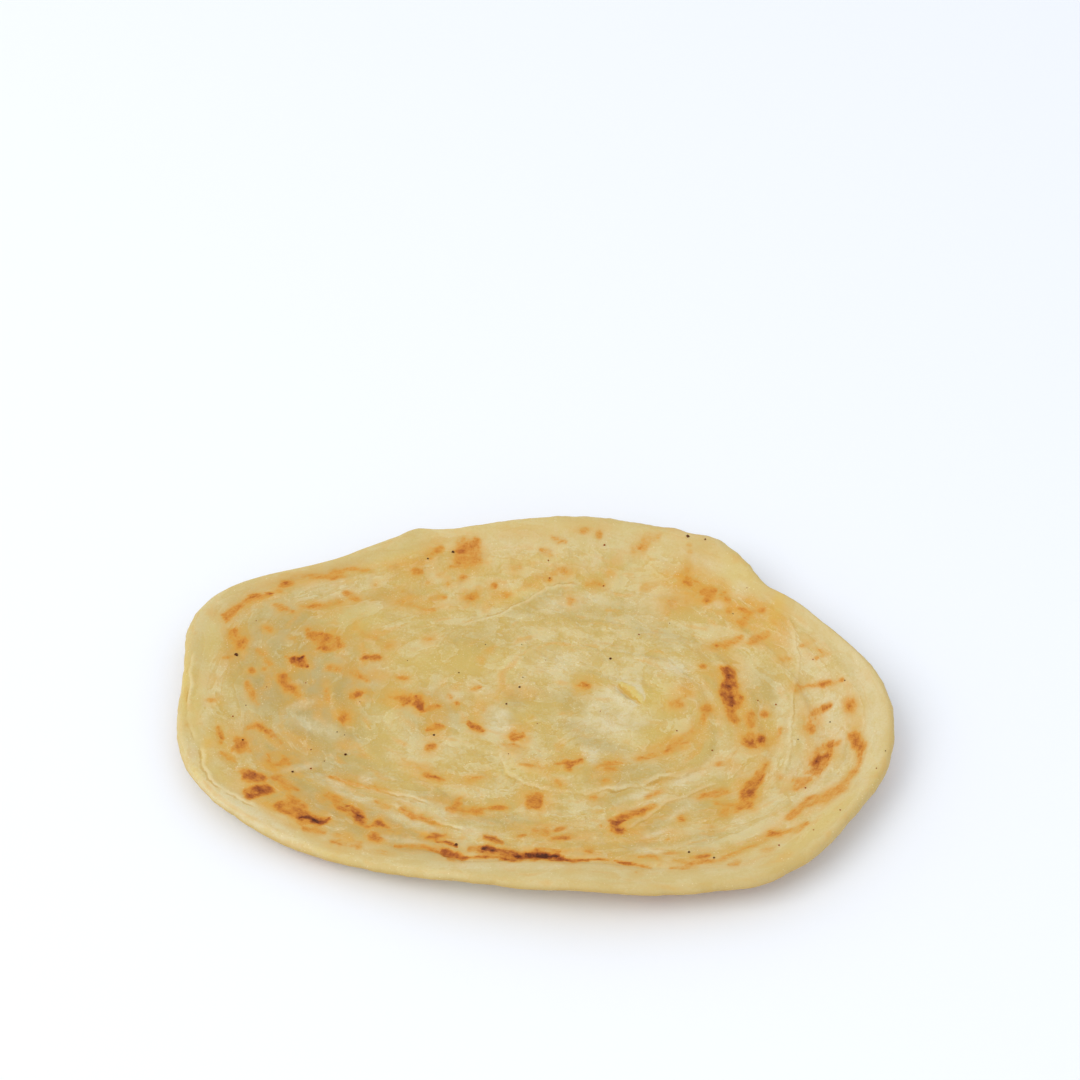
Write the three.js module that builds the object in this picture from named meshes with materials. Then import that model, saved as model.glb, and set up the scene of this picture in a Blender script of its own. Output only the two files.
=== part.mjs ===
// A coiled flaky flatbread: one disc of dough, rolled up as a coil and pressed out by hand.
// Its middle lies flat and its rim lifts all round, most at the back. Millimetres, +Z up.
// The origin is at the middle of its box, on the surface that it lies on.
//
// A place on the bread is given by two numbers. turn is a direction seen from the bread's middle,
// in degrees from +X towards +Y. share is how far out it lies on the straight line from the coil's
// centre to the rim in that direction: 0 at the coil's centre, 1 on the rim.
import * as THREE from "three";

// ---- outline
const HALF_LENGTH = 114.6; // of the smooth oval, before its swells
const HALF_DEPTH = 72.4;
const SQUARENESS = 2.4; // 2 is an ellipse, and more is squarer
const OVAL_TILT = -8.7; // degrees
const COIL_CENTRE = { x: 28, y: 3.6 };
const SWELL_FADE = 5; // the swells belong to the outer part of the bread
const SWELLS = [
  { at: 173.5, spread: 16, out: -6.2 }, // dent in the left end
  { at: 162, spread: 12, out: 5.7 }, // round corner at the back left
  { at: 139, spread: 17, out: -12 }, // hollow stretch at the back left
  { at: 118, spread: 4.2, out: 2.4 }, // small tab on the back edge
  { at: 111, spread: 20, out: -4.7 },
  { at: 55, spread: 26, out: 8 }, // full back, round to the right shoulder
  { at: 46.6, spread: 2.4, out: 1.7 },
  { at: 31, spread: 6.4, out: -4.2 }, // notch under the shoulder
  { at: 17, spread: 15.5, out: -8.4 }, // flat stretch down to the right end
  { at: -25, spread: 9.7, out: -3.8 },
  { at: -47, spread: 4.4, out: 1.4 }, // corner at the front right
];

// ---- section
const THICKNESS = 4.6;
const RIM_SWELL = 0.5; // how much thicker the unflaky border is
const FLAT_SHARE = 0.52; // the underside touches the surface up to here
const RIM_LIFT = [10.5, 10, 14, 8.5, 6, 5, 9.5, 8]; // underside of the rim, every 45 degrees of turn
const RIM_WAVES = [
  { count: 9, height: 0.45, shift: 40 },
  { count: 14, height: 0.3, shift: 110 },
];

// ---- relief of the top face
const COIL_TURNS = 5.4;
const COIL_START = { from: 0.04, to: 0.2 }; // the steps grow between these shares
const COIL_STEP = 0.55; // height of each turn's edge over the next turn out
const COIL_WANDER = [
  { count: 2, amount: 0.16, shift: 35 },
  { count: 5, amount: 0.09, shift: 80 },
  { count: 9, amount: 0.03, shift: 10 },
];
const CLIFF_PART = 0.3; // part of a turn's width that its edge takes to drop
const BORDER_SHARES = [0.93, 0.9, 0.89, 0.92, 0.965, 0.93, 0.87, 0.885]; // where the smooth border starts
const BORDER_BLEND = 0.06; // how far inside it the coil's steps end
const EDGE_SOFTNESS = 1.8; // half the width that a layer's edge takes to drop
const STEP_ABOVE = 0.7; // part of a layer edge's height that stands up, the rest being a dip outside it
const FEATURE_FADE = 0.12; // part of its run over which a layer edge or crease fades at each end
const LAYER_EDGES = [
  // each runs from turn `from` to turn `to`, through these evenly spaced shares
  { from: -146, to: -28, shares: [0.36, 0.45, 0.48, 0.48, 0.45, 0.42, 0.44], step: 1.2, fade: 12 }, // flap
  { from: -70, to: -34, shares: [0.66, 0.53, 0.51], step: 0.6, fade: 7 }, // sheet outside the flap
  { from: -26, to: 24, shares: [0.66, 0.65, 0.63, 0.67, 0.78, 0.9], step: 1.3, fade: 9 }, // right fold
  { from: 78, to: 142, shares: [0.7, 0.69, 0.61, 0.55, 0.51, 0.51], step: 1, fade: 9 }, // back left sheet
  { from: 170, to: 190, shares: [0.98, 0.975, 0.96], step: 0.8, fade: 5 }, // left lip
  { from: 190, to: 208, shares: [0.95, 0.975, 0.95], step: 1, fade: 5 }, // front left lip
  { from: -158, to: -134, shares: [0.735, 0.7, 0.665, 0.66], step: 0.8, fade: 7 }, // front left flakes
  { from: -142, to: -116, shares: [0.72, 0.74, 0.75], step: 0.7, fade: 6 },
];
const CREASES = [
  { from: -130, to: -58, shares: [0.89, 0.87, 0.905, 0.84, 0.85, 0.85, 0.89], deep: 1.3, wide: 2 }, // front
  { from: -60, to: 20, shares: [0.89, 0.9, 0.93, 0.93], deep: 0.5, wide: 3 }, // inside the border, right
  { from: 110, to: 165, shares: [0.9, 0.91, 0.94], deep: 0.5, wide: 3 }, // inside the border, back left
];
const TEAR = { x: 30.4, y: 8.6, length: 8.5, wide: 2.2, deep: 1.5, heading: -40 };

// ---- how finely it is faceted
const TURN_STEPS = 96;
const TOP_RINGS = 45;
const RIM_STEPS = 5;
const UNDER_RINGS = 6;

const radians = THREE.MathUtils.degToRad;
const bell = (distance, spread) => Math.exp(-((distance / spread) ** 2));
const sine = (degrees) => Math.sin(radians(degrees));
const ramp = THREE.MathUtils.smoothstep;

// The angle from one turn to another, the short way round.
function turnBetween(from, to) {
  return ((((to - from + 180) % 360) + 360) % 360) - 180;
}

// A turn as part of the whole circle, from 0 to 1.
function wholeTurn(turn) {
  return turn / 360 - Math.floor(turn / 360);
}

// A smooth curve through evenly spaced values, at u from 0 to 1.
function smoothThrough(values, u, closed = false) {
  const last = values.length - 1;
  const spans = closed ? values.length : last;
  const place = THREE.MathUtils.clamp(u, 0, 1) * spans;
  const first = Math.min(Math.floor(place), spans - 1);
  const value = (index) =>
    closed ? values[(index + values.length) % values.length] : values[Math.min(Math.max(index, 0), last)];
  const [a, b, c, d] = [-1, 0, 1, 2].map((step) => value(first + step));
  const t = place - first;
  return b + 0.5 * t * (c - a + t * (2 * a - 5 * b + 4 * c - d + t * (3 * (b - c) + d - a)));
}

// A tilted, slightly square oval: the distance from its middle to its edge in one direction.
function ovalRadius(turn) {
  const angle = radians(turn - OVAL_TILT);
  const across = Math.abs(Math.cos(angle) / HALF_LENGTH) ** SQUARENESS;
  const along = Math.abs(Math.sin(angle) / HALF_DEPTH) ** SQUARENESS;
  return (across + along) ** (-1 / SQUARENESS);
}

// How far the rim stands outside the oval, or inside it.
function swellAt(turn) {
  const parts = SWELLS.map(({ at, spread, out }) => out * bell(turnBetween(at, turn), spread));
  return parts.reduce((sum, out) => sum + out, 0);
}

// The distance from the coil's centre to the oval's edge.
function reach(turn) {
  const radius = ovalRadius(turn);
  const x = radius * Math.cos(radians(turn));
  const y = radius * Math.sin(radians(turn));
  return Math.hypot(x - COIL_CENTRE.x, y - COIL_CENTRE.y);
}

// Where a place lies, seen from above. The swells die out away from the rim.
function plan(turn, share) {
  const radius = ovalRadius(turn) * share + swellAt(turn) * share ** SWELL_FADE;
  return {
    x: COIL_CENTRE.x * (1 - share) + radius * Math.cos(radians(turn)),
    y: COIL_CENTRE.y * (1 - share) + radius * Math.sin(radians(turn)),
  };
}

// Underside: flat in the middle, then curving up to the rim's own height.
function underside(turn, share) {
  const out = Math.max(0, (share - FLAT_SHARE) / (1 - FLAT_SHARE));
  let lift = smoothThrough(RIM_LIFT, wholeTurn(turn), true);
  for (const { count, height, shift } of RIM_WAVES) lift += height * sine(count * turn + shift);
  return lift * out * out * (2 - out);
}

function borderShare(turn) {
  return smoothThrough(BORDER_SHARES, wholeTurn(turn), true);
}

// How much of a layer edge or crease is there at a turn: it fades in and out at its ends.
function presence(feature, turn) {
  const span = feature.to - feature.from;
  const middle = feature.from + span / 2;
  const u = 0.5 + turnBetween(middle, turn) / span;
  return { u, amount: ramp(u, 0, FEATURE_FADE) * (1 - ramp(u, 1 - FEATURE_FADE, 1)) };
}

// The coil's turns lie like roof tiles, each a little over the next one out.
function coilRelief(turn, share) {
  let phase = COIL_TURNS * share + turn / 360;
  for (const { count, amount, shift } of COIL_WANDER) phase += amount * sine(count * turn + shift);
  const part = phase - Math.floor(phase);
  const climb = 1 - CLIFF_PART;
  const height = part < climb ? part / climb : 1 - ramp(part, climb, 1);
  const border = borderShare(turn);
  const started = ramp(share, COIL_START.from, COIL_START.to);
  const here = started * (1 - ramp(share, border - BORDER_BLEND, border));
  return COIL_STEP * (height - 0.5) * here;
}

function layerEdgeRelief(turn, share) {
  let height = 0;
  for (const edge of LAYER_EDGES) {
    const { u, amount } = presence(edge, turn);
    if (amount <= 0) continue;
    const beyond = (share - smoothThrough(edge.shares, u)) * reach(turn);
    const inner = Math.exp(Math.min(0, beyond) / edge.fade);
    const outer = Math.exp(-Math.max(0, beyond) / (edge.fade / 2));
    const over = 1 - ramp(beyond, -EDGE_SOFTNESS, EDGE_SOFTNESS);
    height += edge.step * amount * (over * STEP_ABOVE * inner - (1 - over) * (1 - STEP_ABOVE) * outer);
  }
  return height;
}

function creaseRelief(turn, share) {
  let height = 0;
  for (const crease of CREASES) {
    const { u, amount } = presence(crease, turn);
    if (amount <= 0) continue;
    const beyond = (share - smoothThrough(crease.shares, u)) * reach(turn);
    height -= crease.deep * amount * bell(beyond, crease.wide);
  }
  return height;
}

// The short tear in the top skin at the coil's centre.
function tearRelief({ x, y }) {
  const heading = radians(TEAR.heading);
  const along = (x - TEAR.x) * Math.cos(heading) + (y - TEAR.y) * Math.sin(heading);
  const across = (y - TEAR.y) * Math.cos(heading) - (x - TEAR.x) * Math.sin(heading);
  return -TEAR.deep * bell(along, TEAR.length / 2) * bell(across, TEAR.wide);
}

// The border is smooth, and a little thicker than the flaky part inside it.
function borderRelief(turn, share) {
  const border = borderShare(turn);
  return RIM_SWELL * bell(share - (1 + border) / 2, (1 - border) / 2);
}

function topFace(turn, share) {
  const relief =
    coilRelief(turn, share) +
    layerEdgeRelief(turn, share) +
    creaseRelief(turn, share) +
    borderRelief(turn, share) +
    tearRelief(plan(turn, share));
  return underside(turn, share) + THICKNESS + relief;
}

// One ring of corners round the bread. shareAt gives its share at each turn, and level is 1 on the
// top face, 0 on the underside and between them on the round edge.
function ring(shareAt, level) {
  const corners = [];
  for (let step = 0; step < TURN_STEPS; step += 1) {
    const turn = (360 * step) / TURN_STEPS;
    const share = shareAt(turn);
    const { x, y } = plan(turn, share);
    const z = THREE.MathUtils.lerp(underside(turn, share), topFace(turn, share), level);
    corners.push(x, y, z);
  }
  return corners;
}

// The section's stations from the coil's centre over the top, round the edge and back underneath.
function rings() {
  const edgeRadius = THICKNESS / 2;
  const shareBack = (inset) => (turn) => 1 - inset / reach(turn);
  const all = [];
  for (let step = 1; step <= TOP_RINGS; step += 1) {
    all.push(ring((turn) => (step / TOP_RINGS) * shareBack(edgeRadius)(turn), 1));
  }
  for (let step = 1; step < RIM_STEPS; step += 1) {
    const angle = 90 - (180 * step) / RIM_STEPS;
    const inset = edgeRadius * (1 - Math.cos(radians(angle)));
    all.push(ring(shareBack(inset), 0.5 + 0.5 * sine(angle)));
  }
  for (let step = 0; step <= UNDER_RINGS; step += 1) {
    const inward = step / UNDER_RINGS;
    all.push(ring((turn) => THREE.MathUtils.lerp(shareBack(edgeRadius)(turn), FLAT_SHARE, inward), 0));
  }
  return all;
}

// Triangles between the rings, and a fan at the coil's centre on each face.
function breadGeometry() {
  const stations = rings();
  const corners = stations.flat();
  const triangles = [];
  const corner = (station, step) => station * TURN_STEPS + (step % TURN_STEPS);
  const topCentre = corners.length / 3;
  const underCentre = topCentre + 1;
  const last = stations.length - 1;
  corners.push(COIL_CENTRE.x, COIL_CENTRE.y, topFace(0, 0));
  corners.push(COIL_CENTRE.x, COIL_CENTRE.y, 0);
  for (let step = 0; step < TURN_STEPS; step += 1) {
    triangles.push(topCentre, corner(0, step), corner(0, step + 1));
    for (let station = 0; station < last; station += 1) {
      const [a, b] = [corner(station, step), corner(station, step + 1)];
      const [c, d] = [corner(station + 1, step), corner(station + 1, step + 1)];
      triangles.push(a, c, d, a, d, b);
    }
    triangles.push(underCentre, corner(last, step + 1), corner(last, step));
  }
  const geometry = new THREE.BufferGeometry();
  geometry.setAttribute("position", new THREE.Float32BufferAttribute(corners, 3));
  geometry.setIndex(triangles);
  return geometry;
}

// The origin goes to the middle of the box, on the surface under the bread.
function centred(geometry) {
  geometry.computeBoundingBox();
  const middle = geometry.boundingBox.getCenter(new THREE.Vector3());
  geometry.translate(-middle.x, -middle.y, 0);
  geometry.computeVertexNormals();
  return geometry;
}

const bakedDough = new THREE.MeshStandardMaterial({ color: 0xd8be7c, roughness: 0.6, metalness: 0 });

const flatbread = new THREE.Mesh(centred(breadGeometry()), bakedDough);
flatbread.name = "flatbread";

const part = new THREE.Group();
part.add(flatbread);

export default part;
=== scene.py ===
import math

import bpy
import numpy as np
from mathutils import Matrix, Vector


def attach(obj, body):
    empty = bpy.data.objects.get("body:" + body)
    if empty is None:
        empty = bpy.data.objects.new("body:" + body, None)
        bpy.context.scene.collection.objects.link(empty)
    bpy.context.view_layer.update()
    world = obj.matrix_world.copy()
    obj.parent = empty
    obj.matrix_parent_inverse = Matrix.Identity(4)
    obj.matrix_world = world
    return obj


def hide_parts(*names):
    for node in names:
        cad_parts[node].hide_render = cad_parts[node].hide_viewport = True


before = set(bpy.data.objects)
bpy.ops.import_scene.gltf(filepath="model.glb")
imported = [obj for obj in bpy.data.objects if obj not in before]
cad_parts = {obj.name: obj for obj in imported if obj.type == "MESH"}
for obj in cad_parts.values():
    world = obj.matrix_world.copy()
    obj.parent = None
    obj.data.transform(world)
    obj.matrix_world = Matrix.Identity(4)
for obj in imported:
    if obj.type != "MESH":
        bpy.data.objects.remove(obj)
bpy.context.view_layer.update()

MM = 0.001

# ---- outline, as in the solid
HALF_LENGTH = 114.6
HALF_DEPTH = 72.4
SQUARENESS = 2.4
OVAL_TILT = -8.7
COIL_CENTRE = (28.0, 3.6)
SWELL_FADE = 5
SWELLS = [  # at this turn, with this spread in degrees, so far out in mm
    (173.5, 16, -6.2),
    (162, 12, 5.7),
    (139, 17, -12),
    (118, 4.2, 2.4),
    (111, 20, -4.7),
    (55, 26, 8),
    (46.6, 2.4, 1.7),
    (31, 6.4, -4.2),
    (17, 15.5, -8.4),
    (-25, 9.7, -3.8),
    (-47, 4.4, 1.4),
]

# ---- section, as in the solid
THICKNESS = 4.6
EDGE_RADIUS = THICKNESS / 2
RIM_SWELL = 0.5
FLAT_SHARE = 0.52
RIM_LIFT = [10.5, 10, 14, 8.5, 6, 5, 9.5, 8]
RIM_WAVES = [(9, 0.45, 40), (14, 0.3, 110)]  # waves round the rim, their height and their shift

# ---- relief of the top face: the solid's steps, with sharper and more ragged edges
COIL_TURNS = 5.4
COIL_START = (0.04, 0.2)
COIL_STEP = 0.5
COIL_WANDER = [(2, 0.16, 35), (5, 0.09, 80), (9, 0.03, 10)]
CLIFF_PART = 0.1
COIL_EYE = 0.22  # within this share of the centre, streaks no longer follow the coil
STREAK_CIRCLE = 60.0
COIL_SPAN = 90.0
STRAND_RAGGED = 0.07  # how far noise shifts the streaks, in turns of the coil
STREAKS_START = (0.35, 0.6)  # between these shares there come to be more streaks round the coil
EYE_FADE = (0.12, 0.3)  # between these shares the streaks turn to follow the coil
PLACE_STEPS = 60
BORDER_SHARES = [0.93, 0.9, 0.89, 0.92, 0.965, 0.93, 0.87, 0.885]
BORDER_BLEND = 0.06
EDGE_SOFTNESS = 0.45
STEP_ABOVE = 0.7
FEATURE_FADE = 0.12
LINE_REACH = 4.0
FULL_LINE = 0.6  # a step of at least this many mm shows as a full line
LAYER_EDGES = [  # from turn, to turn, evenly spaced shares, step in mm, fade in mm
    (-146, -28, [0.36, 0.45, 0.48, 0.48, 0.45, 0.42, 0.44], 0.65, 12),  # central flap
    (-70, -34, [0.66, 0.53, 0.51], 0.3, 7),  # sheet outside the flap
    (-26, 24, [0.66, 0.65, 0.63, 0.67, 0.78, 0.9], 0.4, 9),  # right fold
    (78, 142, [0.7, 0.69, 0.61, 0.55, 0.51, 0.51], 0.5, 9),  # back left sheet
    (170, 190, [0.98, 0.975, 0.96], 0.6, 5),  # left lip
    (190, 208, [0.95, 0.975, 0.95], 0.7, 5),  # front left lip
    (-158, -134, [0.735, 0.7, 0.665, 0.66], 0.6, 7),  # front left flakes
    (-142, -116, [0.72, 0.74, 0.75], 0.7, 6),
]
CREASES = [  # from turn, to turn, evenly spaced shares, depth in mm, width in mm
    (-130, -58, [0.89, 0.87, 0.905, 0.84, 0.85, 0.85, 0.89], 1.3, 1.4),  # front
    (-60, 20, [0.89, 0.9, 0.93, 0.93], 0.5, 3),  # inside the border, right
    (110, 165, [0.9, 0.91, 0.94], 0.5, 3),  # inside the border, back left
]
COIL_RAGGED = 0.1  # how far noise shifts the coil's edges, in turns of the coil
EDGE_RAGGED = 0.9  # and the other edges, in mm
CREASE_RAGGED = 0.8
TEAR_RAGGED = 0.4
TEAR_LIP = 0.35  # height of the raised lip at the tear's front, in mm
SHEET_CLIFF = (0.42, 0.58)  # between these parts of a step, a thin sheet ends
SHEET_WARP = 0.4
SHEETS = [  # seed, streaks round the coil, streaks across each turn, steps, and height of a step in mm
    (52, 24, 2, 1.7, 0.2),
    (55, 54, 5, 1.8, 0.11),
]
BUMPS = [  # seed, size in mm, octaves and height in mm
    (61, 13, 2, 0.26),
    (62, 4, 3, 0.12),
    (63, 1.7, 2, 0.07),
]
BORDER_BUMPS = 0.3  # the smooth border's part of that height
UNDER_DENT = 0.25  # mean depth of the underside's dents, how much they vary, and the deepest, in mm
UNDER_UNEVEN = 0.22
UNDER_DEEPEST = 0.6
RIM_WOBBLE = 0.35
RIM_LINES = [  # seed, waves round the rim, level, spread of level and depth in mm
    (82, 30, 0.4, 0.1, 0.3),
    (83, 42, 0.7, 0.08, 0.16),
]
TEAR = {"x": 31.0, "y": 6.4, "length": 9.5, "wide": 1.3, "deep": 1.2, "heading": -48}

# ---- the photograph's camera
CAMERA_AIM = (2.5, 66.1, 14.0)
CAMERA_DISTANCE = 685.0
CAMERA_DOWN = 45.0
CAMERA_LENS = 68.1
SENSOR = 36.0
PHOTO_SIZE = 1080

# ---- how fine the mesh is
TOP_CELLS = 256  # across the top face, and half as many underneath
RIM_STEPS = 10


def ramp(value, low, high):
    part = np.clip((value - low) / (high - low), 0, 1)
    return part * part * (3 - 2 * part)


def bell(distance, spread):
    return np.exp(-((distance / spread) ** 2))


def turn_between(start, end):
    return (end - start + 180) % 360 - 180


def smooth_through(values, u, closed=False):
    """A smooth curve through evenly spaced values, at u from 0 to 1."""
    values = np.asarray(values, float)
    count = len(values)
    spans = count if closed else count - 1
    place = np.clip(u, 0, 1) * spans
    first = np.minimum(np.floor(place), spans - 1).astype(int)
    index = [first + step for step in (-1, 0, 1, 2)]
    a, b, c, d = [values[i % count if closed else np.clip(i, 0, count - 1)] for i in index]
    t = place - first
    return b + 0.5 * t * (c - a + t * (2 * a - 5 * b + 4 * c - d + t * (3 * (b - c) + d - a)))


# ---- seeded noise, from -1 to 1


def noise(seed, x, y, period=None, rise=0):
    """Smooth noise with about one bump for each unit.

    With a period, the pattern comes back along x after so many units, moved along y by rise.
    """
    rng = np.random.default_rng(seed)
    order = rng.permutation(256)
    angles = rng.uniform(0, 2 * math.pi, 256)
    x0 = np.floor(x).astype(int)
    y0 = np.floor(y).astype(int)
    dx = x - x0
    dy = y - y0

    def corner(i, j):
        column = x0 + i
        row = y0 + j
        if period:
            wraps = (column + period // 2) // period
            column = column - wraps * period
            row = row - wraps * rise
        angle = angles[order[(order[column & 255] + row) & 255]]
        return np.cos(angle) * (dx - i) + np.sin(angle) * (dy - j)

    fade_x = dx**3 * (dx * (dx * 6 - 15) + 10)
    fade_y = dy**3 * (dy * (dy * 6 - 15) + 10)
    near = corner(0, 0) * (1 - fade_x) + corner(1, 0) * fade_x
    far = corner(0, 1) * (1 - fade_x) + corner(1, 1) * fade_x
    return 1.5 * (near * (1 - fade_y) + far * fade_y)


def rough(seed, x, y, size, octaves=3):
    """Noise with finer noise on it. size is the largest bumps' size in mm."""
    total = np.zeros_like(x)
    for octave in range(octaves):
        total += noise(seed + octave, x * 2**octave / size, y * 2**octave / size) / 2**octave
    return total


def terraces(value):
    """Turns a smooth slope into flat steps with short cliffs between them."""
    whole = np.floor(value)
    return whole + ramp(value - whole, *SHEET_CLIFF)


# ---- the form


def oval_radius(turn):
    angle = np.radians(turn - OVAL_TILT)
    across = np.abs(np.cos(angle) / HALF_LENGTH) ** SQUARENESS
    along = np.abs(np.sin(angle) / HALF_DEPTH) ** SQUARENESS
    return (across + along) ** (-1 / SQUARENESS)


def swell_at(turn):
    return sum(out * bell(turn_between(at, turn), spread) for at, spread, out in SWELLS)


def reach(turn):
    """The distance from the coil's centre to the oval's edge."""
    radius = oval_radius(turn)
    x = radius * np.cos(np.radians(turn)) - COIL_CENTRE[0]
    y = radius * np.sin(np.radians(turn)) - COIL_CENTRE[1]
    return np.hypot(x, y)


def plan(turn, share, centre=COIL_CENTRE):
    radius = oval_radius(turn) * share + swell_at(turn) * share**SWELL_FADE
    x = centre[0] * (1 - share) + radius * np.cos(np.radians(turn))
    y = centre[1] * (1 - share) + radius * np.sin(np.radians(turn))
    return x, y


def place_of(x, y):
    """The turn and share of a place, found by stepping towards it."""
    share = np.hypot(x - COIL_CENTRE[0], y - COIL_CENTRE[1]) / HALF_LENGTH
    for _ in range(PLACE_STEPS):
        from_middle = (x - COIL_CENTRE[0] * (1 - share), y - COIL_CENTRE[1] * (1 - share))
        turn = np.degrees(np.arctan2(from_middle[1], from_middle[0]))
        full = oval_radius(turn) + swell_at(turn) * share ** (SWELL_FADE - 1)
        share = 0.5 * share + 0.5 * np.hypot(*from_middle) / full
    return turn, share


def underside(turn, share):
    out = np.maximum(0, (share - FLAT_SHARE) / (1 - FLAT_SHARE))
    lift = smooth_through(RIM_LIFT, (turn / 360) % 1, closed=True)
    for count, height, shift in RIM_WAVES:
        lift = lift + height * np.sin(np.radians(count * turn + shift))
    return lift * out * out * (2 - out)


def border_share(turn):
    return smooth_through(BORDER_SHARES, (turn / 360) % 1, closed=True)


def presence(start, end, turn):
    span = end - start
    u = 0.5 + turn_between(start + span / 2, turn) / span
    return u, ramp(u, 0, FEATURE_FADE) * (1 - ramp(u, 1 - FEATURE_FADE, 1))


def flaky(turn, share):
    """1 in the flaky part and 0 in the smooth border."""
    border = border_share(turn)
    return 1 - ramp(share, border - BORDER_BLEND, border)


def coil_phase(turn, share):
    """Counts the coil's turns outwards. It is the same all along one strand."""
    phase = COIL_TURNS * share + turn / 360
    for count, amount, shift in COIL_WANDER:
        phase = phase + amount * np.sin(np.radians(count * turn + shift))
    return phase


def strands(seed, turn, share, x, y, around, across):
    """Noise drawn out along the coil: so many streaks round it, and across each of its turns."""
    phase = (coil_phase(turn, share) + STRAND_RAGGED * rough(seed + 10, x, y, 8)) * across
    outer = noise(seed, turn / 360 * around, phase, period=around, rise=across)
    few = around // 6 * 2
    inner = noise(seed + 1, turn / 360 * few, phase, period=few, rise=across)
    middle = noise(seed + 2, x / 9 + 0.3 * y / 9, y * across / 22)
    drawn = inner + (outer - inner) * ramp(share, *STREAKS_START)
    return middle + (drawn - middle) * ramp(share, *EYE_FADE)


def coil_place(turn, share):
    """A place in a space bent along the coil, in mm, for the material's streaks and flakes.

    The first two numbers change along the coil, and the third across it. Close to the coil's centre
    they change alike in every direction.
    """
    out = np.hypot(share, COIL_EYE)
    along = STREAK_CIRCLE * share / out
    around = np.radians(turn)
    return np.stack([along * np.cos(around), along * np.sin(around), COIL_SPAN * out], axis=1)


def coil_relief(turn, share, x, y):
    part = (coil_phase(turn, share) + COIL_RAGGED * rough(11, x, y, 14)) % 1
    climb = 1 - CLIFF_PART
    height = np.where(part < climb, part / climb, 1 - ramp(part, climb, 1))
    uneven = 0.75 + 0.6 * rough(12, x, y, 18, octaves=2)
    return COIL_STEP * uneven * (height - 0.5) * ramp(share, *COIL_START) * flaky(turn, share)


def layer_edges(turn, share, x, y):
    """Each layer's step and fade, how far beyond its edge each place is, in mm, and how clear it is."""
    ragged = EDGE_RAGGED * rough(21, x, y, 7, octaves=4)
    patchy = rough(22, x, y, 10, octaves=2)
    for start, end, shares, step, fade in LAYER_EDGES:
        u, amount = presence(start, end, turn)
        beyond = (share - smooth_through(shares, u)) * reach(turn) + ragged
        yield step, fade, beyond, amount * (0.8 + 0.7 * patchy)


def layer_edge_relief(turn, share, x, y):
    height = np.zeros_like(share)
    for step, fade, beyond, amount in layer_edges(turn, share, x, y):
        inner = np.exp(np.minimum(0, beyond) / fade)
        outer = np.exp(-np.maximum(0, beyond) / (fade / 2))
        over = 1 - ramp(beyond, -EDGE_SOFTNESS, EDGE_SOFTNESS)
        height += step * amount * (over * STEP_ABOVE * inner - (1 - over) * (1 - STEP_ABOVE) * outer)
    return height


def nearest_layer_edge(turn, share, x, y):
    """How far beyond the nearest layer's edge each place is, in mm, and how clear that edge is."""
    nearest = np.full_like(share, LINE_REACH)
    clear = np.zeros_like(share)
    for step, _, beyond, amount in layer_edges(turn, share, x, y):
        closer = (np.abs(beyond) < np.abs(nearest)) & (amount > 0.02)
        nearest = np.where(closer, beyond, nearest)
        clear = np.where(closer, amount * min(1, step / FULL_LINE), clear)
    return nearest, np.clip(clear, 0, 1) * ramp(-np.abs(nearest), -LINE_REACH, -LINE_REACH / 2)


def crease_relief(turn, share, x, y):
    ragged = CREASE_RAGGED * rough(31, x, y, 9)
    height = np.zeros_like(share)
    for start, end, shares, deep, wide in CREASES:
        u, amount = presence(start, end, turn)
        beyond = (share - smooth_through(shares, u)) * reach(turn) + ragged
        height -= deep * amount * bell(beyond, wide)
    return height


def tear_place(x, y):
    """How far along the tear and how far to its back each place lies, in mm."""
    heading = math.radians(TEAR["heading"])
    dx = x - TEAR["x"]
    dy = y - TEAR["y"]
    along = dx * math.cos(heading) + dy * math.sin(heading)
    across = dy * math.cos(heading) - dx * math.sin(heading)
    return along, across + TEAR_RAGGED * rough(41, x, y, 2.5)


def tear_relief(x, y):
    """A slit, with a torn sheet that slopes down to it from its back and a raised lip at its front."""
    along, across = tear_place(x, y)
    slit = ramp(-np.abs(across), -TEAR["wide"] * 1.2, -TEAR["wide"] * 0.3)
    lip = bell(across + TEAR["wide"] * 2, TEAR["wide"])
    return bell(along, TEAR["length"] / 2) * (TEAR_LIP * lip - TEAR["deep"] * slit)


def border_relief(turn, share):
    border = border_share(turn)
    return RIM_SWELL * bell(share - (1 + border) / 2, (1 - border) / 2)


def flake_relief(turn, share, x, y):
    """Thin sheets of dough that follow the coil, with ragged edges."""
    warp = SHEET_WARP * rough(51, x, y, 5)
    height = np.zeros_like(x)
    for seed, around, across, steps, step in SHEETS:
        height += step * terraces(steps * strands(seed, turn, share, x, y, around, across) + warp)
    return height * flaky(turn, share)


def bump_relief(turn, share, x, y):
    """Soft swellings and small blisters, lower in the smooth border."""
    height = sum(tall * rough(seed, x, y, size, octaves) for seed, size, octaves, tall in BUMPS)
    return height * (BORDER_BUMPS + (1 - BORDER_BUMPS) * flaky(turn, share))


def top_face(turn, share, x, y):
    relief = coil_relief(turn, share, x, y) + layer_edge_relief(turn, share, x, y)
    relief += crease_relief(turn, share, x, y) + border_relief(turn, share) + tear_relief(x, y)
    relief += flake_relief(turn, share, x, y) + bump_relief(turn, share, x, y)
    return underside(turn, share) + THICKNESS + relief


def under_face(turn, share, x, y):
    """The underside keeps to the surface that it lies on, and only dents upwards from it."""
    dents = UNDER_DENT + UNDER_UNEVEN * rough(71, x, y, 11)
    return underside(turn, share) + np.clip(dents, 0, UNDER_DEEPEST)


# ---- browning, placed by the photograph's pixels

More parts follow.
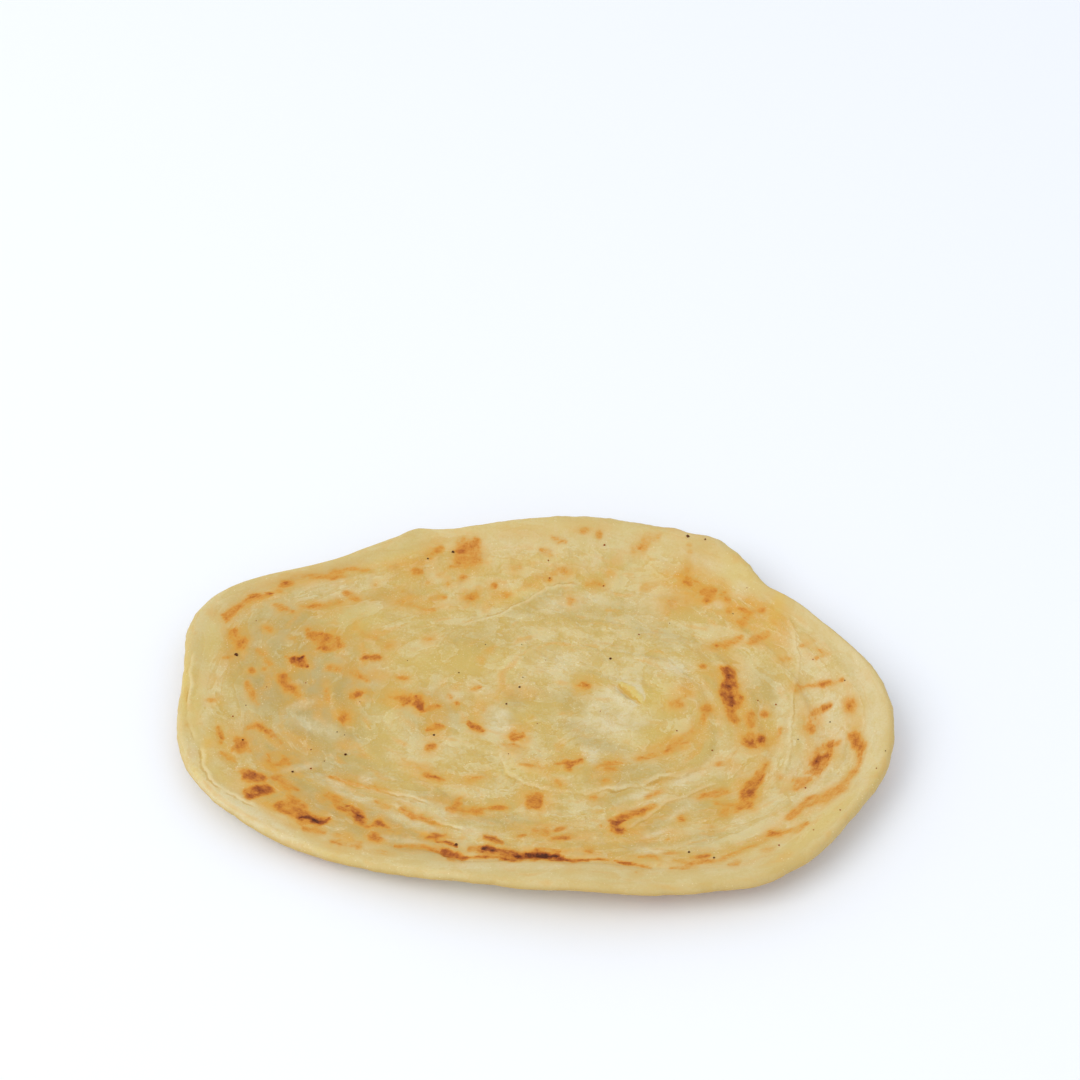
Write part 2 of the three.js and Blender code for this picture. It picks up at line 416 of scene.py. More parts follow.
BROWNED_AREAS = [  # depth of colour, and the corners of the area
    # back left
    (0.5, [(456, 541), (463, 538), (479, 539), (482, 549), (480, 557), (475, 566), (459, 566), (456, 559),
        (455, 550)]),
    (0.46, [(425, 555), (434, 549), (442, 545), (444, 550), (438, 555), (430, 558)]),
    (0.5, [(223, 616), (227, 610), (239, 603), (249, 595), (258, 593), (270, 592), (273, 595), (265, 598),
        (253, 602), (242, 608), (233, 614), (227, 622), (224, 620)]),
    (0.5, [(277, 586), (283, 580), (294, 577), (309, 573), (318, 575), (329, 572), (337, 568), (344, 572),
        (345, 577), (334, 579), (322, 578), (309, 579), (294, 582), (286, 588), (278, 588)]),
    (0.48, [(301, 606), (313, 604), (324, 604), (337, 600), (344, 602), (334, 606), (324, 609), (317, 611),
        (310, 608)]),
    (0.54, [(229, 630), (236, 628), (241, 634), (246, 642), (243, 648), (237, 650), (233, 645),
        (228, 638)]),
    (0.64, [(307, 628), (315, 632), (327, 634), (339, 637), (344, 643), (343, 650), (330, 651), (317, 650),
        (314, 643), (307, 638)]),
    (0.46, [(462, 598), (470, 594), (476, 592), (479, 598), (469, 602)]),
    # left
    (0.64, [(286, 657), (294, 656), (302, 657), (306, 661), (309, 666), (306, 668), (299, 668), (292, 664),
        (288, 660)]),
    (0.58, [(283, 673), (287, 675), (288, 681), (295, 687), (300, 694), (297, 696), (291, 694), (285, 690),
        (280, 684), (277, 679), (279, 675)]),
    (0.7, [(362, 659), (364, 653), (371, 655), (378, 655), (380, 658), (374, 661), (365, 661)]),
    (0.58, [(349, 694), (355, 690), (368, 692), (360, 696), (355, 700), (350, 698)]),
    (0.58, [(339, 712), (346, 710), (351, 715), (349, 720), (343, 724), (338, 720)]),
    (0.74, [(389, 697), (408, 696), (416, 695), (422, 697), (424, 704), (422, 712), (418, 709), (411, 704),
        (400, 702)]),
    (0.58, [(421, 774), (429, 772), (435, 775), (446, 780), (438, 781), (427, 779)]),
    # front left
    (0.5, [(236, 738), (243, 737), (249, 742), (247, 747), (251, 751), (240, 752), (232, 751), (234, 745)]),
    (0.56, [(267, 754), (271, 755), (273, 762), (279, 762), (282, 757), (290, 758), (293, 762), (291, 767),
        (283, 765), (276, 767), (271, 766), (267, 761)]),
    (0.7, [(240, 773), (247, 769), (253, 771), (261, 773), (268, 777), (264, 781), (256, 782), (248, 781),
        (242, 778)]),
    (0.7, [(243, 791), (248, 787), (256, 785), (264, 785), (271, 789), (275, 793), (268, 795), (261, 794),
        (257, 799), (251, 800), (244, 797)]),
    (0.6, [(272, 806), (279, 801), (285, 799), (290, 794), (296, 797), (303, 800), (308, 806), (312, 813),
        (326, 817), (330, 820), (325, 824), (312, 826), (302, 824), (285, 815), (278, 813)]),
    (0.62, [(321, 795), (328, 792), (338, 796), (346, 803), (356, 808), (361, 813), (367, 821), (367, 825),
        (360, 825), (353, 819), (349, 814), (341, 811), (336, 807), (330, 802), (324, 800)]),
    (0.64, [(371, 825), (376, 821), (382, 821), (387, 826), (393, 830), (398, 832), (389, 831), (380, 829),
        (373, 828), (363, 826)]),
    (0.62, [(368, 835), (371, 832), (377, 832), (379, 836), (384, 840), (378, 841), (370, 842),
        (367, 839)]),
    (0.56, [(330, 841), (337, 840), (341, 841), (346, 844), (348, 847), (341, 847), (336, 844),
        (331, 843)]),
    (0.48, [(348, 846), (353, 843), (362, 842), (361, 847), (351, 848)]),
    (0.76, [(424, 839), (428, 835), (436, 833), (445, 834), (447, 836), (440, 838), (436, 840)]),
    (0.56, [(526, 795), (544, 792), (543, 801), (540, 809), (527, 809), (525, 800)]),
    # middle
    (0.48, [(578, 685), (581, 680), (589, 680), (592, 685), (586, 690), (579, 689)]),
    (0.6, [(509, 737), (515, 731), (524, 732), (526, 736), (521, 740), (511, 741)]),
    (0.56, [(555, 764), (565, 761), (573, 761), (582, 757), (583, 761), (573, 764), (572, 770), (567, 771),
        (563, 766)]),
    (0.46, [(597, 767), (603, 762), (609, 761), (622, 761), (617, 765), (618, 771), (609, 771),
        (603, 768)]),
    (0.46, [(555, 778), (558, 779), (563, 785), (560, 787), (556, 783)]),
    # back right
    (0.42, [(630, 547), (640, 540), (647, 535), (661, 533), (658, 540), (648, 546), (641, 553),
        (632, 553)]),
    (0.5, [(682, 582), (687, 576), (694, 579), (701, 587), (692, 587), (684, 585)]),
    (0.55, [(702, 587), (710, 585), (718, 588), (716, 596), (711, 600), (706, 603), (703, 598),
        (699, 592)]),
    (0.52, [(719, 594), (725, 592), (730, 599), (732, 603), (726, 601)]),
    (0.46, [(739, 608), (747, 607), (755, 612), (750, 622), (742, 630), (737, 622), (742, 615)]),
    # right
    (0.7, [(722, 668), (728, 666), (735, 671), (736, 679), (738, 689), (743, 698), (742, 707), (736, 711),
        (738, 718), (741, 721), (736, 724), (729, 721), (725, 711), (723, 702), (719, 695), (719, 689),
        (723, 684), (722, 675)]),
    (0.56, [(749, 711), (754, 714), (755, 725), (750, 729), (745, 725), (746, 716)]),
    (0.56, [(742, 737), (748, 732), (757, 733), (764, 737), (767, 741), (764, 746), (756, 748), (747, 747),
        (742, 743)]),
    (0.64, [(766, 760), (770, 762), (766, 771), (764, 779), (758, 787), (755, 799), (752, 807), (746, 808),
        (741, 812), (735, 812), (736, 805), (740, 800), (740, 793), (743, 786), (753, 777), (761, 770)]),
    (0.54, [(697, 797), (702, 793), (707, 793), (706, 797), (699, 799)]),
    (0.5, [(847, 734), (855, 729), (862, 736), (866, 746), (864, 755), (858, 757), (853, 748), (848, 741)]),
    (0.6, [(828, 741), (841, 740), (840, 744), (832, 749), (830, 755), (830, 760), (824, 768), (820, 776),
        (813, 775), (805, 774), (810, 768), (810, 758), (820, 753), (822, 747)]),
    (0.55, [(804, 724), (808, 714), (816, 708), (820, 712), (813, 720), (816, 730), (808, 735),
        (803, 730)]),
    (0.42, [(790, 781), (797, 777), (811, 775), (813, 781), (805, 786), (799, 792), (791, 791),
        (785, 790)]),
    # front right
    (0.62, [(767, 836), (771, 831), (780, 830), (784, 832), (781, 835), (774, 836)]),
    (0.66, [(610, 825), (617, 823), (626, 828), (627, 832), (623, 836), (616, 836), (611, 832)]),
    (0.5, [(673, 859), (681, 859), (685, 861), (692, 863), (696, 866), (689, 868), (682, 865), (674, 862)]),
]

BROWNED_STROKES = [  # width, depth of colour, and the pixels that it runs through
    # back left
    (4, 0.42, [(346, 569), (356, 569), (362, 570), (374, 571)]),
    (6, 0.44, [(345, 593), (351, 596), (359, 600)]),
    (6, 0.47, [(274, 605), (282, 608), (293, 612)]),
    (4, 0.48, [(400, 605), (414, 605), (422, 608), (434, 610)]),
    (4, 0.45, [(430, 599), (437, 598), (446, 597)]),
    (5, 0.4, [(541, 550), (547, 551), (551, 556)]),
    (5, 0.42, [(552, 537), (558, 540), (565, 542)]),
    (5, 0.5, [(586, 585), (595, 583), (604, 585)]),
    (7, 0.34, [(526, 585), (540, 578), (554, 574)]),
    # left
    (6, 0.38, [(257, 650), (263, 655), (270, 663)]),
    (7, 0.38, [(247, 683), (251, 692), (257, 704)]),
    (5, 0.36, [(360, 632), (365, 636), (377, 638), (381, 641)]),
    (8, 0.37, [(327, 667), (339, 669), (352, 672), (361, 678), (368, 680)]),
    (5, 0.56, [(427, 710), (432, 708), (440, 706)]),
    (4, 0.5, [(448, 695), (452, 698)]),
    (6, 0.56, [(428, 730), (435, 727), (443, 727)]),
    (5, 0.54, [(469, 723), (475, 727), (483, 731)]),
    (4, 0.46, [(472, 690), (480, 687)]),
    (7, 0.54, [(248, 728), (256, 725), (264, 728), (272, 735), (281, 742)]),
    (5, 0.5, [(218, 727), (220, 734), (222, 738), (221, 742)]),
    (5, 0.5, [(221, 753), (228, 757), (234, 760)]),
    # front left
    (8, 0.56, [(272, 777), (279, 778), (283, 783), (290, 787), (296, 789)]),
    (4, 0.86, [(301, 817), (307, 817), (312, 820), (320, 823), (326, 822), (329, 819)]),
    (7, 0.5, [(304, 829), (314, 829), (323, 832)]),
    (4, 0.46, [(330, 777), (343, 780), (353, 784), (363, 786), (370, 788)]),
    (5, 0.4, [(375, 788), (382, 791), (391, 794)]),
    (5, 0.4, [(376, 801), (383, 804), (389, 807)]),
    (5, 0.46, [(400, 809), (406, 811), (413, 817), (421, 818), (430, 821), (441, 825)]),
    (10, 0.74, [(352, 810), (358, 815), (362, 822)]),
    (3.5, 0.56, [(395, 846), (404, 846), (414, 846), (424, 847), (435, 850), (443, 855)]),
    (2.5, 0.72, [(436, 842), (446, 842), (452, 844), (457, 847)]),
    (2.5, 0.7, [(443, 856), (451, 857), (460, 858), (480, 857), (499, 857)]),
    (7, 0.68, [(442, 851), (452, 855), (462, 858)]),
    (5, 0.7, [(485, 837), (492, 839), (502, 843)]),
    (4, 0.54, [(484, 809), (496, 808), (507, 808)]),
    (6, 0.5, [(448, 809), (456, 808), (466, 811), (478, 812)]),
    # folds of the rim, front left
    (3, 0.24, [(204, 782), (214, 793), (228, 804), (246, 815), (266, 825), (288, 834)]),
    (3, 0.3, [(262, 834), (280, 841), (297, 847)]),
    # the dark crease at the front: char and browning, with painted shade in its hollow
    (6, 0.6, [(470, 849), (480, 850), (492, 853), (504, 856)]),
    (5, 0.98, [(483, 849), (488, 848), (494, 850), (499, 852)]),
    (3, 0.9, [(492, 849), (500, 850), (506, 853)]),
    (9, 0.84, [(496, 852), (508, 854), (520, 857)]),
    (2.5, 0.92, [(502, 851), (511, 851), (516, 853), (518, 856)]),
    (8, 0.76, [(518, 855), (532, 855), (548, 856), (562, 858)]),
    (4.5, 1.0, [(526, 854), (534, 855), (542, 856), (551, 857)]),
    (2.5, 0.9, [(548, 856), (558, 857), (566, 859)]),
    (2.5, 0.8, [(562, 859), (573, 861), (589, 860)]),
    (4, 0.66, [(500, 859), (512, 859), (524, 858)]),
    (2, 0.6, [(589, 860), (598, 859), (608, 860)]),
    (2.5, 0.66, [(614, 861), (624, 863), (634, 864), (651, 868)]),
    (3, 0.56, [(535, 849), (545, 849), (560, 851)]),
    # front right
    (7, 0.56, [(610, 820), (620, 819), (630, 815), (639, 812), (655, 806)]),
    (3, 0.76, [(611, 823), (619, 823), (626, 820)]),
    (5, 0.42, [(646, 798), (655, 793), (663, 790)]),
    (4, 0.42, [(640, 857), (653, 857), (661, 861), (659, 865)]),
    (3, 0.5, [(670, 868), (682, 868), (690, 866)]),
    (4, 0.5, [(690, 858), (700, 857), (710, 856)]),
    (4, 0.46, [(692, 863), (702, 862), (712, 862), (720, 860), (737, 853), (747, 848), (758, 844),
        (768, 840)]),
    (5, 0.45, [(730, 864), (740, 861)]),
    (4, 0.45, [(784, 832), (795, 831), (801, 827), (807, 823)]),
    (5, 0.36, [(762, 851), (774, 847)]),
    (9, 0.44, [(861, 760), (856, 770), (848, 778), (844, 786), (832, 793), (824, 798), (815, 800),
        (805, 805), (797, 811), (789, 818)]),
    (6, 0.5, [(706, 796), (714, 795), (722, 792), (728, 792)]),
    (4, 0.42, [(714, 802), (725, 804), (736, 805)]),
    # right
    (9, 0.4, [(707, 712), (699, 725), (689, 736), (675, 746), (664, 752), (650, 755), (638, 759)]),
    (3, 0.42, [(603, 761), (614, 763), (624, 763)]),
    (7, 0.84, [(727, 669), (728, 684), (732, 696), (734, 704)]),
    (6, 0.38, [(766, 746), (775, 737), (782, 729)]),
    (7, 0.45, [(713, 648), (718, 646), (732, 642), (741, 637)]),
    (9, 0.38, [(749, 643), (757, 639), (767, 634)]),
    (5, 0.54, [(806, 686), (819, 685), (830, 683), (842, 680)]),
    (7, 0.54, [(829, 705), (821, 709), (812, 714), (807, 723), (814, 730)]),
    (4, 0.38, [(800, 646), (814, 641)]),
    (4, 0.36, [(814, 648), (829, 654)]),
    (4, 0.38, [(817, 658), (824, 655)]),
    (5, 0.36, [(641, 590), (648, 586), (657, 585)]),
    (4, 0.42, [(503, 745), (512, 745), (524, 747)]),
    (3, 0.36, [(520, 764), (535, 766), (552, 770)]),
    # beside the edge of the central flap: a thin golden line, partly painted shadow along the edge
    (3, 0.26, [(649, 785), (658, 782), (665, 780), (675, 775), (686, 771), (695, 770), (701, 768)]),
]

BROWNED_SPOTS = [  # middle, length, width, lean and depth of colour
    (468, 556, 30, 26, 0, 0.62), (452, 567, 9, 4, 0, 0.42), (417, 572, 12, 9, 0, 0.56),
    (463, 578, 11, 7, 10, 0.46), (428, 583, 5, 4, 0, 0.42), (448, 584, 4, 4, 0, 0.42),
    (403, 591, 7, 5, 0, 0.48), (494, 586, 8, 7, 0, 0.5), (501, 596, 22, 9, 0, 0.36),
    (516, 567, 14, 8, 0, 0.36), (583, 530, 16, 8, 0, 0.42), (599, 535, 8, 9, 0, 0.42),
    (571, 600, 10, 9, 0, 0.48), (565, 570, 16, 9, 0, 0.34), (225, 616, 6, 8, 0, 0.62),
    (256, 596, 16, 5, 15, 0.56), (286, 583, 10, 7, 10, 0.58), (328, 576, 12, 5, 0, 0.6),
    (279, 591, 8, 6, 0, 0.42), (393, 567, 16, 7, 0, 0.36), (375, 585, 4, 4, 0, 0.42),
    (398, 603, 20, 7, 0, 0.38), (315, 606, 9, 5, 0, 0.58), (268, 629, 13, 8, -10, 0.54),
    (238, 643, 8, 9, 0, 0.6), (324, 642, 16, 10, -10, 0.66), (293, 638, 9, 4, 0, 0.42),
    (228, 657, 14, 5, 10, 0.48), (252, 671, 9, 7, 0, 0.54), (264, 669, 6, 5, 0, 0.4),
    (212, 700, 12, 5, 0, 0.42), (296, 662, 10, 5, -10, 0.72), (371, 658, 9, 5, 0, 0.7),
    (388, 645, 13, 7, 20, 0.42), (429, 639, 12, 5, 0, 0.36), (359, 677, 14, 6, -20, 0.5),
    (402, 678, 15, 5, 0, 0.5), (327, 694, 8, 16, 0, 0.48), (344, 717, 7, 8, 0, 0.64),
    (456, 703, 7, 5, -20, 0.6), (431, 747, 13, 9, 20, 0.52),
    (484, 707, 6, 10, 0, 0.46), (475, 687, 7, 4, 0, 0.36), (476, 779, 22, 8, 15, 0.38),
    (436, 777, 9, 4, -25, 0.8), (187, 725, 6, 5, 0, 0.3), (242, 745, 9, 9, 0, 0.56),
    (289, 763, 8, 7, 0, 0.62), (255, 777, 12, 7, -5, 0.78), (250, 795, 10, 8, 0, 0.8),
    (266, 790, 12, 5, -10, 0.74), (295, 802, 14, 7, -20, 0.72), (340, 844, 8, 5, -20, 0.64),
    (374, 835, 7, 6, 0, 0.78), (379, 825, 8, 6, -20, 0.72), (338, 834, 14, 4, 0, 0.36),
    (379, 852, 26, 6, -5, 0.36), (456, 806, 18, 10, 45, 0.6), (477, 810, 16, 8, -10, 0.62),
    (534, 800, 14, 12, 0, 0.62), (561, 838, 24, 7, 8, 0.58), (560, 829, 18, 5, 20, 0.5),
    (545, 832, 14, 8, 0, 0.46), (521, 836, 10, 4, 10, 0.46), (594, 798, 10, 8, 0, 0.44),
    (540, 829, 24, 12, 15, 0.38), (589, 851, 10, 5, 0, 0.56), (450, 855, 16, 6, -15, 0.62),
    (517, 738, 9, 6, 0, 0.68), (513, 749, 16, 8, 0, 0.34), (609, 769, 14, 6, 0, 0.46),
    (605, 781, 9, 7, 0, 0.46), (606, 780, 8, 6, 0, 0.48), (676, 705, 17, 10, 0, 0.56),
    (682, 697, 12, 5, 20, 0.44), (707, 709, 13, 11, 0, 0.52), (666, 751, 9, 5, 15, 0.6),
    (561, 785, 5, 6, 0, 0.5), (640, 547, 12, 8, 30, 0.5), (689, 545, 7, 4, 0, 0.44),
    (690, 552, 6, 5, 0, 0.5), (687, 566, 10, 18, 0, 0.32), (675, 603, 34, 16, 0, 0.32),
    (709, 595, 9, 9, 0, 0.6), (762, 610, 9, 7, 0, 0.52), (729, 611, 8, 8, 0, 0.38),
    (784, 659, 14, 7, 0, 0.46), (703, 667, 9, 6, 0, 0.54), (765, 714, 11, 8, 0, 0.54),
    (760, 739, 12, 10, -30, 0.84), (754, 741, 24, 13, 0, 0.5), (750, 718, 16, 20, 0, 0.44),
    (798, 688, 14, 12, 0, 0.42), (850, 705, 16, 22, 0, 0.46), (812, 718, 18, 26, 30, 0.42),
    (822, 756, 32, 20, 40, 0.46), (240, 641, 17, 20, -20, 0.5), (288, 684, 16, 26, 30, 0.44),
    (346, 716, 16, 16, 0, 0.44), (372, 658, 22, 10, 0, 0.46), (750, 793, 12, 14, 30, 0.72),
    (747, 803, 12, 8, 20, 0.72), (721, 764, 15, 6, 5, 0.42),
    (850, 706, 9, 16, 0, 0.54), (856, 743, 9, 14, -10, 0.58), (829, 706, 8, 4, 30, 0.62),
    (820, 759, 22, 9, 30, 0.82), (831, 744, 12, 6, 30, 0.62), (811, 798, 14, 6, 25, 0.58),
    (780, 777, 9, 9, 0, 0.42), (682, 818, 12, 9, 0, 0.4), (681, 820, 4, 5, 0, 0.64),
    (727, 812, 20, 14, 20, 0.38), (638, 813, 8, 5, 25, 0.64), (620, 830, 13, 4, -8, 0.88),
    (618, 822, 9, 4, 15, 0.8), (774, 833, 9, 4, 15, 0.7), (672, 853, 22, 4, 3, 0.38),
    (668, 839, 5, 3, 0, 0.42), (636, 872, 4, 3, 0, 0.42), (712, 827, 5, 4, 0, 0.42),
    (726, 816, 5, 4, 0, 0.44), (601, 826, 3, 3, 0, 0.62), (550, 579, 4, 4, 0, 0.6),
    (615, 764, 4, 3, 0, 0.66), (570, 767, 5, 4, 0, 0.68), (717, 647, 5, 4, 0, 0.68),
    (299, 659, 3, 3, 0, 0.92), (304, 657, 3, 3, 0, 0.92), (308, 666, 4, 3, 0, 0.92),
    (268, 592, 3, 3, 0, 0.8), (271, 594, 3, 3, 0, 0.8), (347, 806, 3, 3, 0, 0.9), (623, 829, 3, 3, 0, 0.95),
]

FLOURY_AND_LIT = [  # whitish places, with a broad painted highlight across the back at (570, 545): middle, length, width, lean and strength
    (592, 560, 26, 22, 0, 0.6), (580, 600, 44, 16, 0, 0.5), (648, 612, 24, 34, 0, 0.5),
    (332, 588, 44, 18, 10, 0.5), (505, 545, 50, 16, 0, 0.5), (616, 722, 62, 20, 6, 0.85),
    (598, 710, 30, 14, 25, 0.6), (628, 704, 34, 12, -38, 0.8), (612, 693, 26, 10, 15, 0.7),
    (639, 688, 6, 22, 8, 0.8), (627, 678, 24, 5, 0, 0.7), (620, 701, 26, 7, -38, 0.9),
    (498, 719, 22, 24, 20, 0.9), (484, 690, 22, 6, 5, 0.6), (452, 697, 20, 10, 0, 0.7),
    (592, 756, 14, 14, 0, 0.8), (677, 667, 26, 14, 0, 0.8), (555, 660, 70, 22, 0, 0.4),
    (570, 545, 220, 36, 0, 0.35), (510, 548, 40, 14, -20, 0.6), (545, 562, 20, 12, 0, 0.4),
    (568, 548, 24, 12, 0, 0.5), (600, 560, 20, 20, 0, 0.3), (636, 600, 20, 16, 0, 0.5),
    (740, 590, 14, 16, 0, 0.5), (717, 605, 12, 8, 0, 0.5), (700, 560, 50, 12, -20, 0.4),
    (556, 606, 30, 14, 0, 0.5), (312, 725, 46, 14, -20, 0.6), (300, 706, 30, 8, 20, 0.5),
    (300, 768, 30, 6, 10, 0.6), (330, 783, 40, 8, -20, 0.6), (352, 796, 40, 6, -22, 0.6),
    (366, 780, 12, 8, 0, 0.6), (400, 798, 60, 6, -14, 0.5), (420, 825, 50, 8, -20, 0.6),
    (445, 815, 20, 12, 0, 0.5), (400, 840, 44, 6, -6, 0.5), (480, 832, 40, 8, -6, 0.5),
    (640, 795, 34, 7, 16, 0.7), (684, 780, 40, 8, 24, 0.6), (645, 805, 40, 6, 22, 0.6),
    (680, 812, 30, 7, 30, 0.5), (655, 834, 24, 5, 20, 0.6), (648, 851, 26, 5, -4, 0.6),
    (740, 822, 16, 20, 0, 0.5), (720, 770, 26, 16, 0, 0.4), (790, 640, 12, 34, 0, 0.2),
    (780, 700, 14, 30, 0, 0.4), (780, 757, 12, 20, 0, 0.3), (820, 660, 24, 12, 0, 0.5),
    (812, 655, 50, 60, 0, 0.35), (826, 705, 50, 66, 0, 0.7),
    (834, 738, 36, 30, 0, 0.7), (812, 772, 60, 44, 0, 0.6), (790, 808, 60, 30, 30, 0.4),
    (795, 735, 24, 70, 0, 0.2), (742, 772, 30, 10, 0, 0.3), (815, 790, 40, 12, 35, 0.6),
    (872, 735, 20, 90, -8, 0.6), (858, 672, 24, 60, 30, 0.6), (250, 816, 140, 18, -31, 0.8),
    (196, 760, 10, 40, 20, 0.6), (500, 866, 120, 7, 0, 0.5),
]
THIN_AND_SHADED = [  # greyish places where the dough is thin, and painted shade over the left and in the hollow inside the front border
    (268, 690, 50, 44, 0, 0.9), (300, 706, 50, 40, 0, 0.9), (300, 726, 30, 24, 0, 1.0),
    (345, 735, 40, 20, 0, 0.8), (290, 640, 120, 80, 10, 0.7), (315, 700, 110, 90, 0, 0.9),
    (300, 755, 130, 50, -20, 0.7), (350, 814, 180, 30, -22, 0.9), (430, 712, 60, 40, 0, 0.6),
    (500, 716, 30, 24, 0, 0.5), (250, 612, 40, 16, 25, 0.5),
    (395, 598, 60, 14, 0, 0.4), (600, 610, 110, 22, 0, 0.3), (656, 632, 60, 20, -20, 0.3),
    (540, 600, 60, 18, 25, 0.35), (580, 727, 40, 14, -15, 0.6), (600, 745, 50, 12, -15, 0.6),
    (560, 705, 60, 26, 0, 0.4), (520, 700, 40, 20, 0, 0.4), (480, 640, 60, 30, 0, 0.3),
    (440, 800, 60, 14, -10, 0.5), (420, 832, 50, 8, -8, 0.4), (500, 820, 60, 12, 0, 0.5),
    (630, 775, 70, 24, 6, 0.5), (610, 800, 40, 12, 10, 0.4), (665, 815, 50, 16, 35, 0.5),
    (640, 845, 34, 10, 16, 0.5), (700, 800, 30, 30, 0, 0.3), (700, 840, 40, 14, 10, 0.4),
    (804, 700, 12, 60, 0, 0.4), (815, 735, 16, 30, 0, 0.5), (845, 750, 10, 22, 0, 0.6),
    (766, 690, 24, 40, 0, 0.4), (800, 770, 30, 14, 20, 0.4),
    (345, 832, 40, 10, -5, 0.5),
]
BUTTERY = [  # clearer yellow places
    (192, 700, 16, 70, 0, 0.6), (201, 764, 12, 30, -20, 1.0), (212, 640, 20, 40, 0, 0.4),
    (570, 545, 260, 60, 0, 0.3), (652, 700, 44, 40, 0, 0.6), (540, 712, 40, 20, 0, 0.3),
    (660, 735, 50, 24, 10, 0.4), (520, 592, 70, 12, 20, 0.5), (186, 690, 8, 60, 0, 0.7),
    (204, 752, 10, 34, -20, 0.8), (220, 776, 30, 8, -45, 0.5), (220, 740, 30, 30, 0, 0.3),
    (375, 715, 60, 40, 0, 0.3), (350, 620, 60, 26, 0, 0.5), (465, 660, 120, 26, 0, 0.3),
    (410, 550, 90, 20, 15, 0.4), (540, 560, 60, 12, 0, 0.5), (560, 530, 200, 16, 0, 0.4),
    (668, 578, 40, 10, -20, 0.5), (742, 565, 46, 60, -35, 0.5), (776, 610, 12, 40, -20, 0.8),
    (820, 824, 90, 12, 40, 0.5), (872, 770, 12, 60, 10, 0.5), (640, 812, 50, 10, 10, 0.4),
    (530, 770, 60, 14, 0, 0.4), (300, 844, 80, 5, -22, 0.5),
]
GOLDEN = [  # softly golden places
    (312, 702, 56, 14, 0, 0.6), (345, 745, 18, 14, 0, 0.6), (688, 690, 26, 18, 0, 0.7),
    (278, 768, 44, 14, -10, 0.8), (516, 692, 40, 14, 0, 0.5), (408, 600, 52, 14, -8, 0.6),
    (733, 766, 30, 14, -30, 0.6), (550, 830, 60, 14, 12, 0.4), (697, 727, 30, 15, 55, 0.7),
    (378, 830, 34, 18, -10, 0.7), (672, 836, 30, 16, 0, 0.5),
    (268, 808, 34, 14, -38, 1.0), (300, 825, 50, 11, -20, 0.9), (345, 840, 30, 14, -10, 0.8),
    (530, 533, 60, 14, 0, 0.5), (470, 538, 30, 12, 0, 0.6), (680, 535, 40, 12, -10, 0.5),
    (300, 745, 40, 24, -20, 0.5), (640, 840, 36, 10, 0, 0.6), (520, 829, 30, 12, 0, 0.4),
    (262, 592, 60, 18, 24, 0.8), (318, 575, 66, 14, 10, 0.5), (300, 606, 50, 10, -20, 0.35),
    (345, 602, 60, 10, 5, 0.4), (412, 566, 44, 20, 10, 0.6), (432, 548, 34, 18, 20, 0.7),
    (480, 600, 44, 9, 0, 0.5), (430, 602, 44, 9, -8, 0.5), (502, 594, 24, 12, 0, 0.5),
    (516, 566, 16, 24, 0, 0.4), (562, 574, 46, 12, 18, 0.6), (590, 530, 44, 16, -5, 0.6),
    (598, 583, 24, 12, 15, 0.5), (614, 566, 36, 12, 62, 0.5), (641, 545, 28, 18, 45, 0.7),
    (696, 562, 44, 56, 0, 0.5), (700, 590, 76, 34, -20, 0.75), (672, 602, 50, 26, 0, 0.35),
    (746, 612, 44, 34, -20, 0.75), (778, 622, 26, 56, 12, 0.6), (724, 644, 50, 14, 12, 0.5),
    (765, 640, 30, 20, 20, 0.35), (325, 640, 54, 24, -8, 0.6), (232, 652, 20, 36, -20, 0.5),
    (230, 660, 34, 10, 0, 0.4), (370, 672, 56, 16, -18, 0.5), (386, 646, 32, 14, 10, 0.5),
    (295, 660, 28, 14, -10, 0.3), (345, 712, 20, 24, 0, 0.5),
    (326, 692, 14, 28, 0, 0.5), (412, 700, 60, 18, -12, 0.7), (436, 722, 20, 50, -10, 0.6),
    (480, 712, 34, 20, 65, 0.6), (520, 738, 30, 18, 60, 0.5), (240, 740, 48, 34, -20, 0.45),
    (275, 738, 60, 14, -35, 0.6), (276, 763, 34, 18, -5, 0.6), (205, 756, 16, 24, 0, 0.4),
    (206, 680, 26, 14, 0, 0.4), (270, 795, 80, 34, -22, 0.7), (300, 818, 60, 26, -30, 0.7),
    (355, 812, 80, 12, -35, 0.4), (370, 786, 70, 12, -18, 0.6), (392, 832, 40, 14, -20, 0.5),
    (424, 772, 50, 12, -22, 0.6), (432, 777, 40, 14, -8, 0.6), (422, 818, 50, 9, -25, 0.5),
    (470, 780, 36, 12, 15, 0.5), (448, 801, 34, 14, -5, 0.5), (476, 810, 44, 12, 0, 0.6),
    (535, 800, 34, 26, 0, 0.7), (560, 766, 44, 14, 15, 0.6), (606, 772, 30, 28, 0, 0.35),
    (560, 836, 70, 18, 0, 0.5), (628, 824, 50, 30, 30, 0.7), (660, 806, 40, 10, 25, 0.4),
    (750, 788, 50, 30, 62, 0.6), (722, 812, 50, 14, 20, 0.4), (757, 740, 44, 28, 0, 0.6),
    (732, 690, 30, 60, 5, 0.6), (825, 752, 70, 28, 50, 0.7), (820, 716, 28, 16, 65, 0.6),
    (853, 722, 20, 60, 10, 0.6), (833, 685, 50, 12, 8, 0.5), (815, 802, 80, 18, 30, 0.6),
    # the long bands along the front crease, here and on the next line, are golden browning with painted
    # shade in its hollow
    (775, 836, 50, 12, 15, 0.5), (650, 860, 120, 12, 0, 0.5), (540, 852, 150, 10, -2, 0.6),
    (720, 862, 80, 10, 2, 0.4), (440, 850, 80, 10, -8, 0.5), (586, 684, 20, 16, 0, 0.5),
    (676, 705, 26, 16, 0, 0.5), (708, 708, 24, 20, 0, 0.6), (672, 746, 60, 18, 22, 0.7),
]

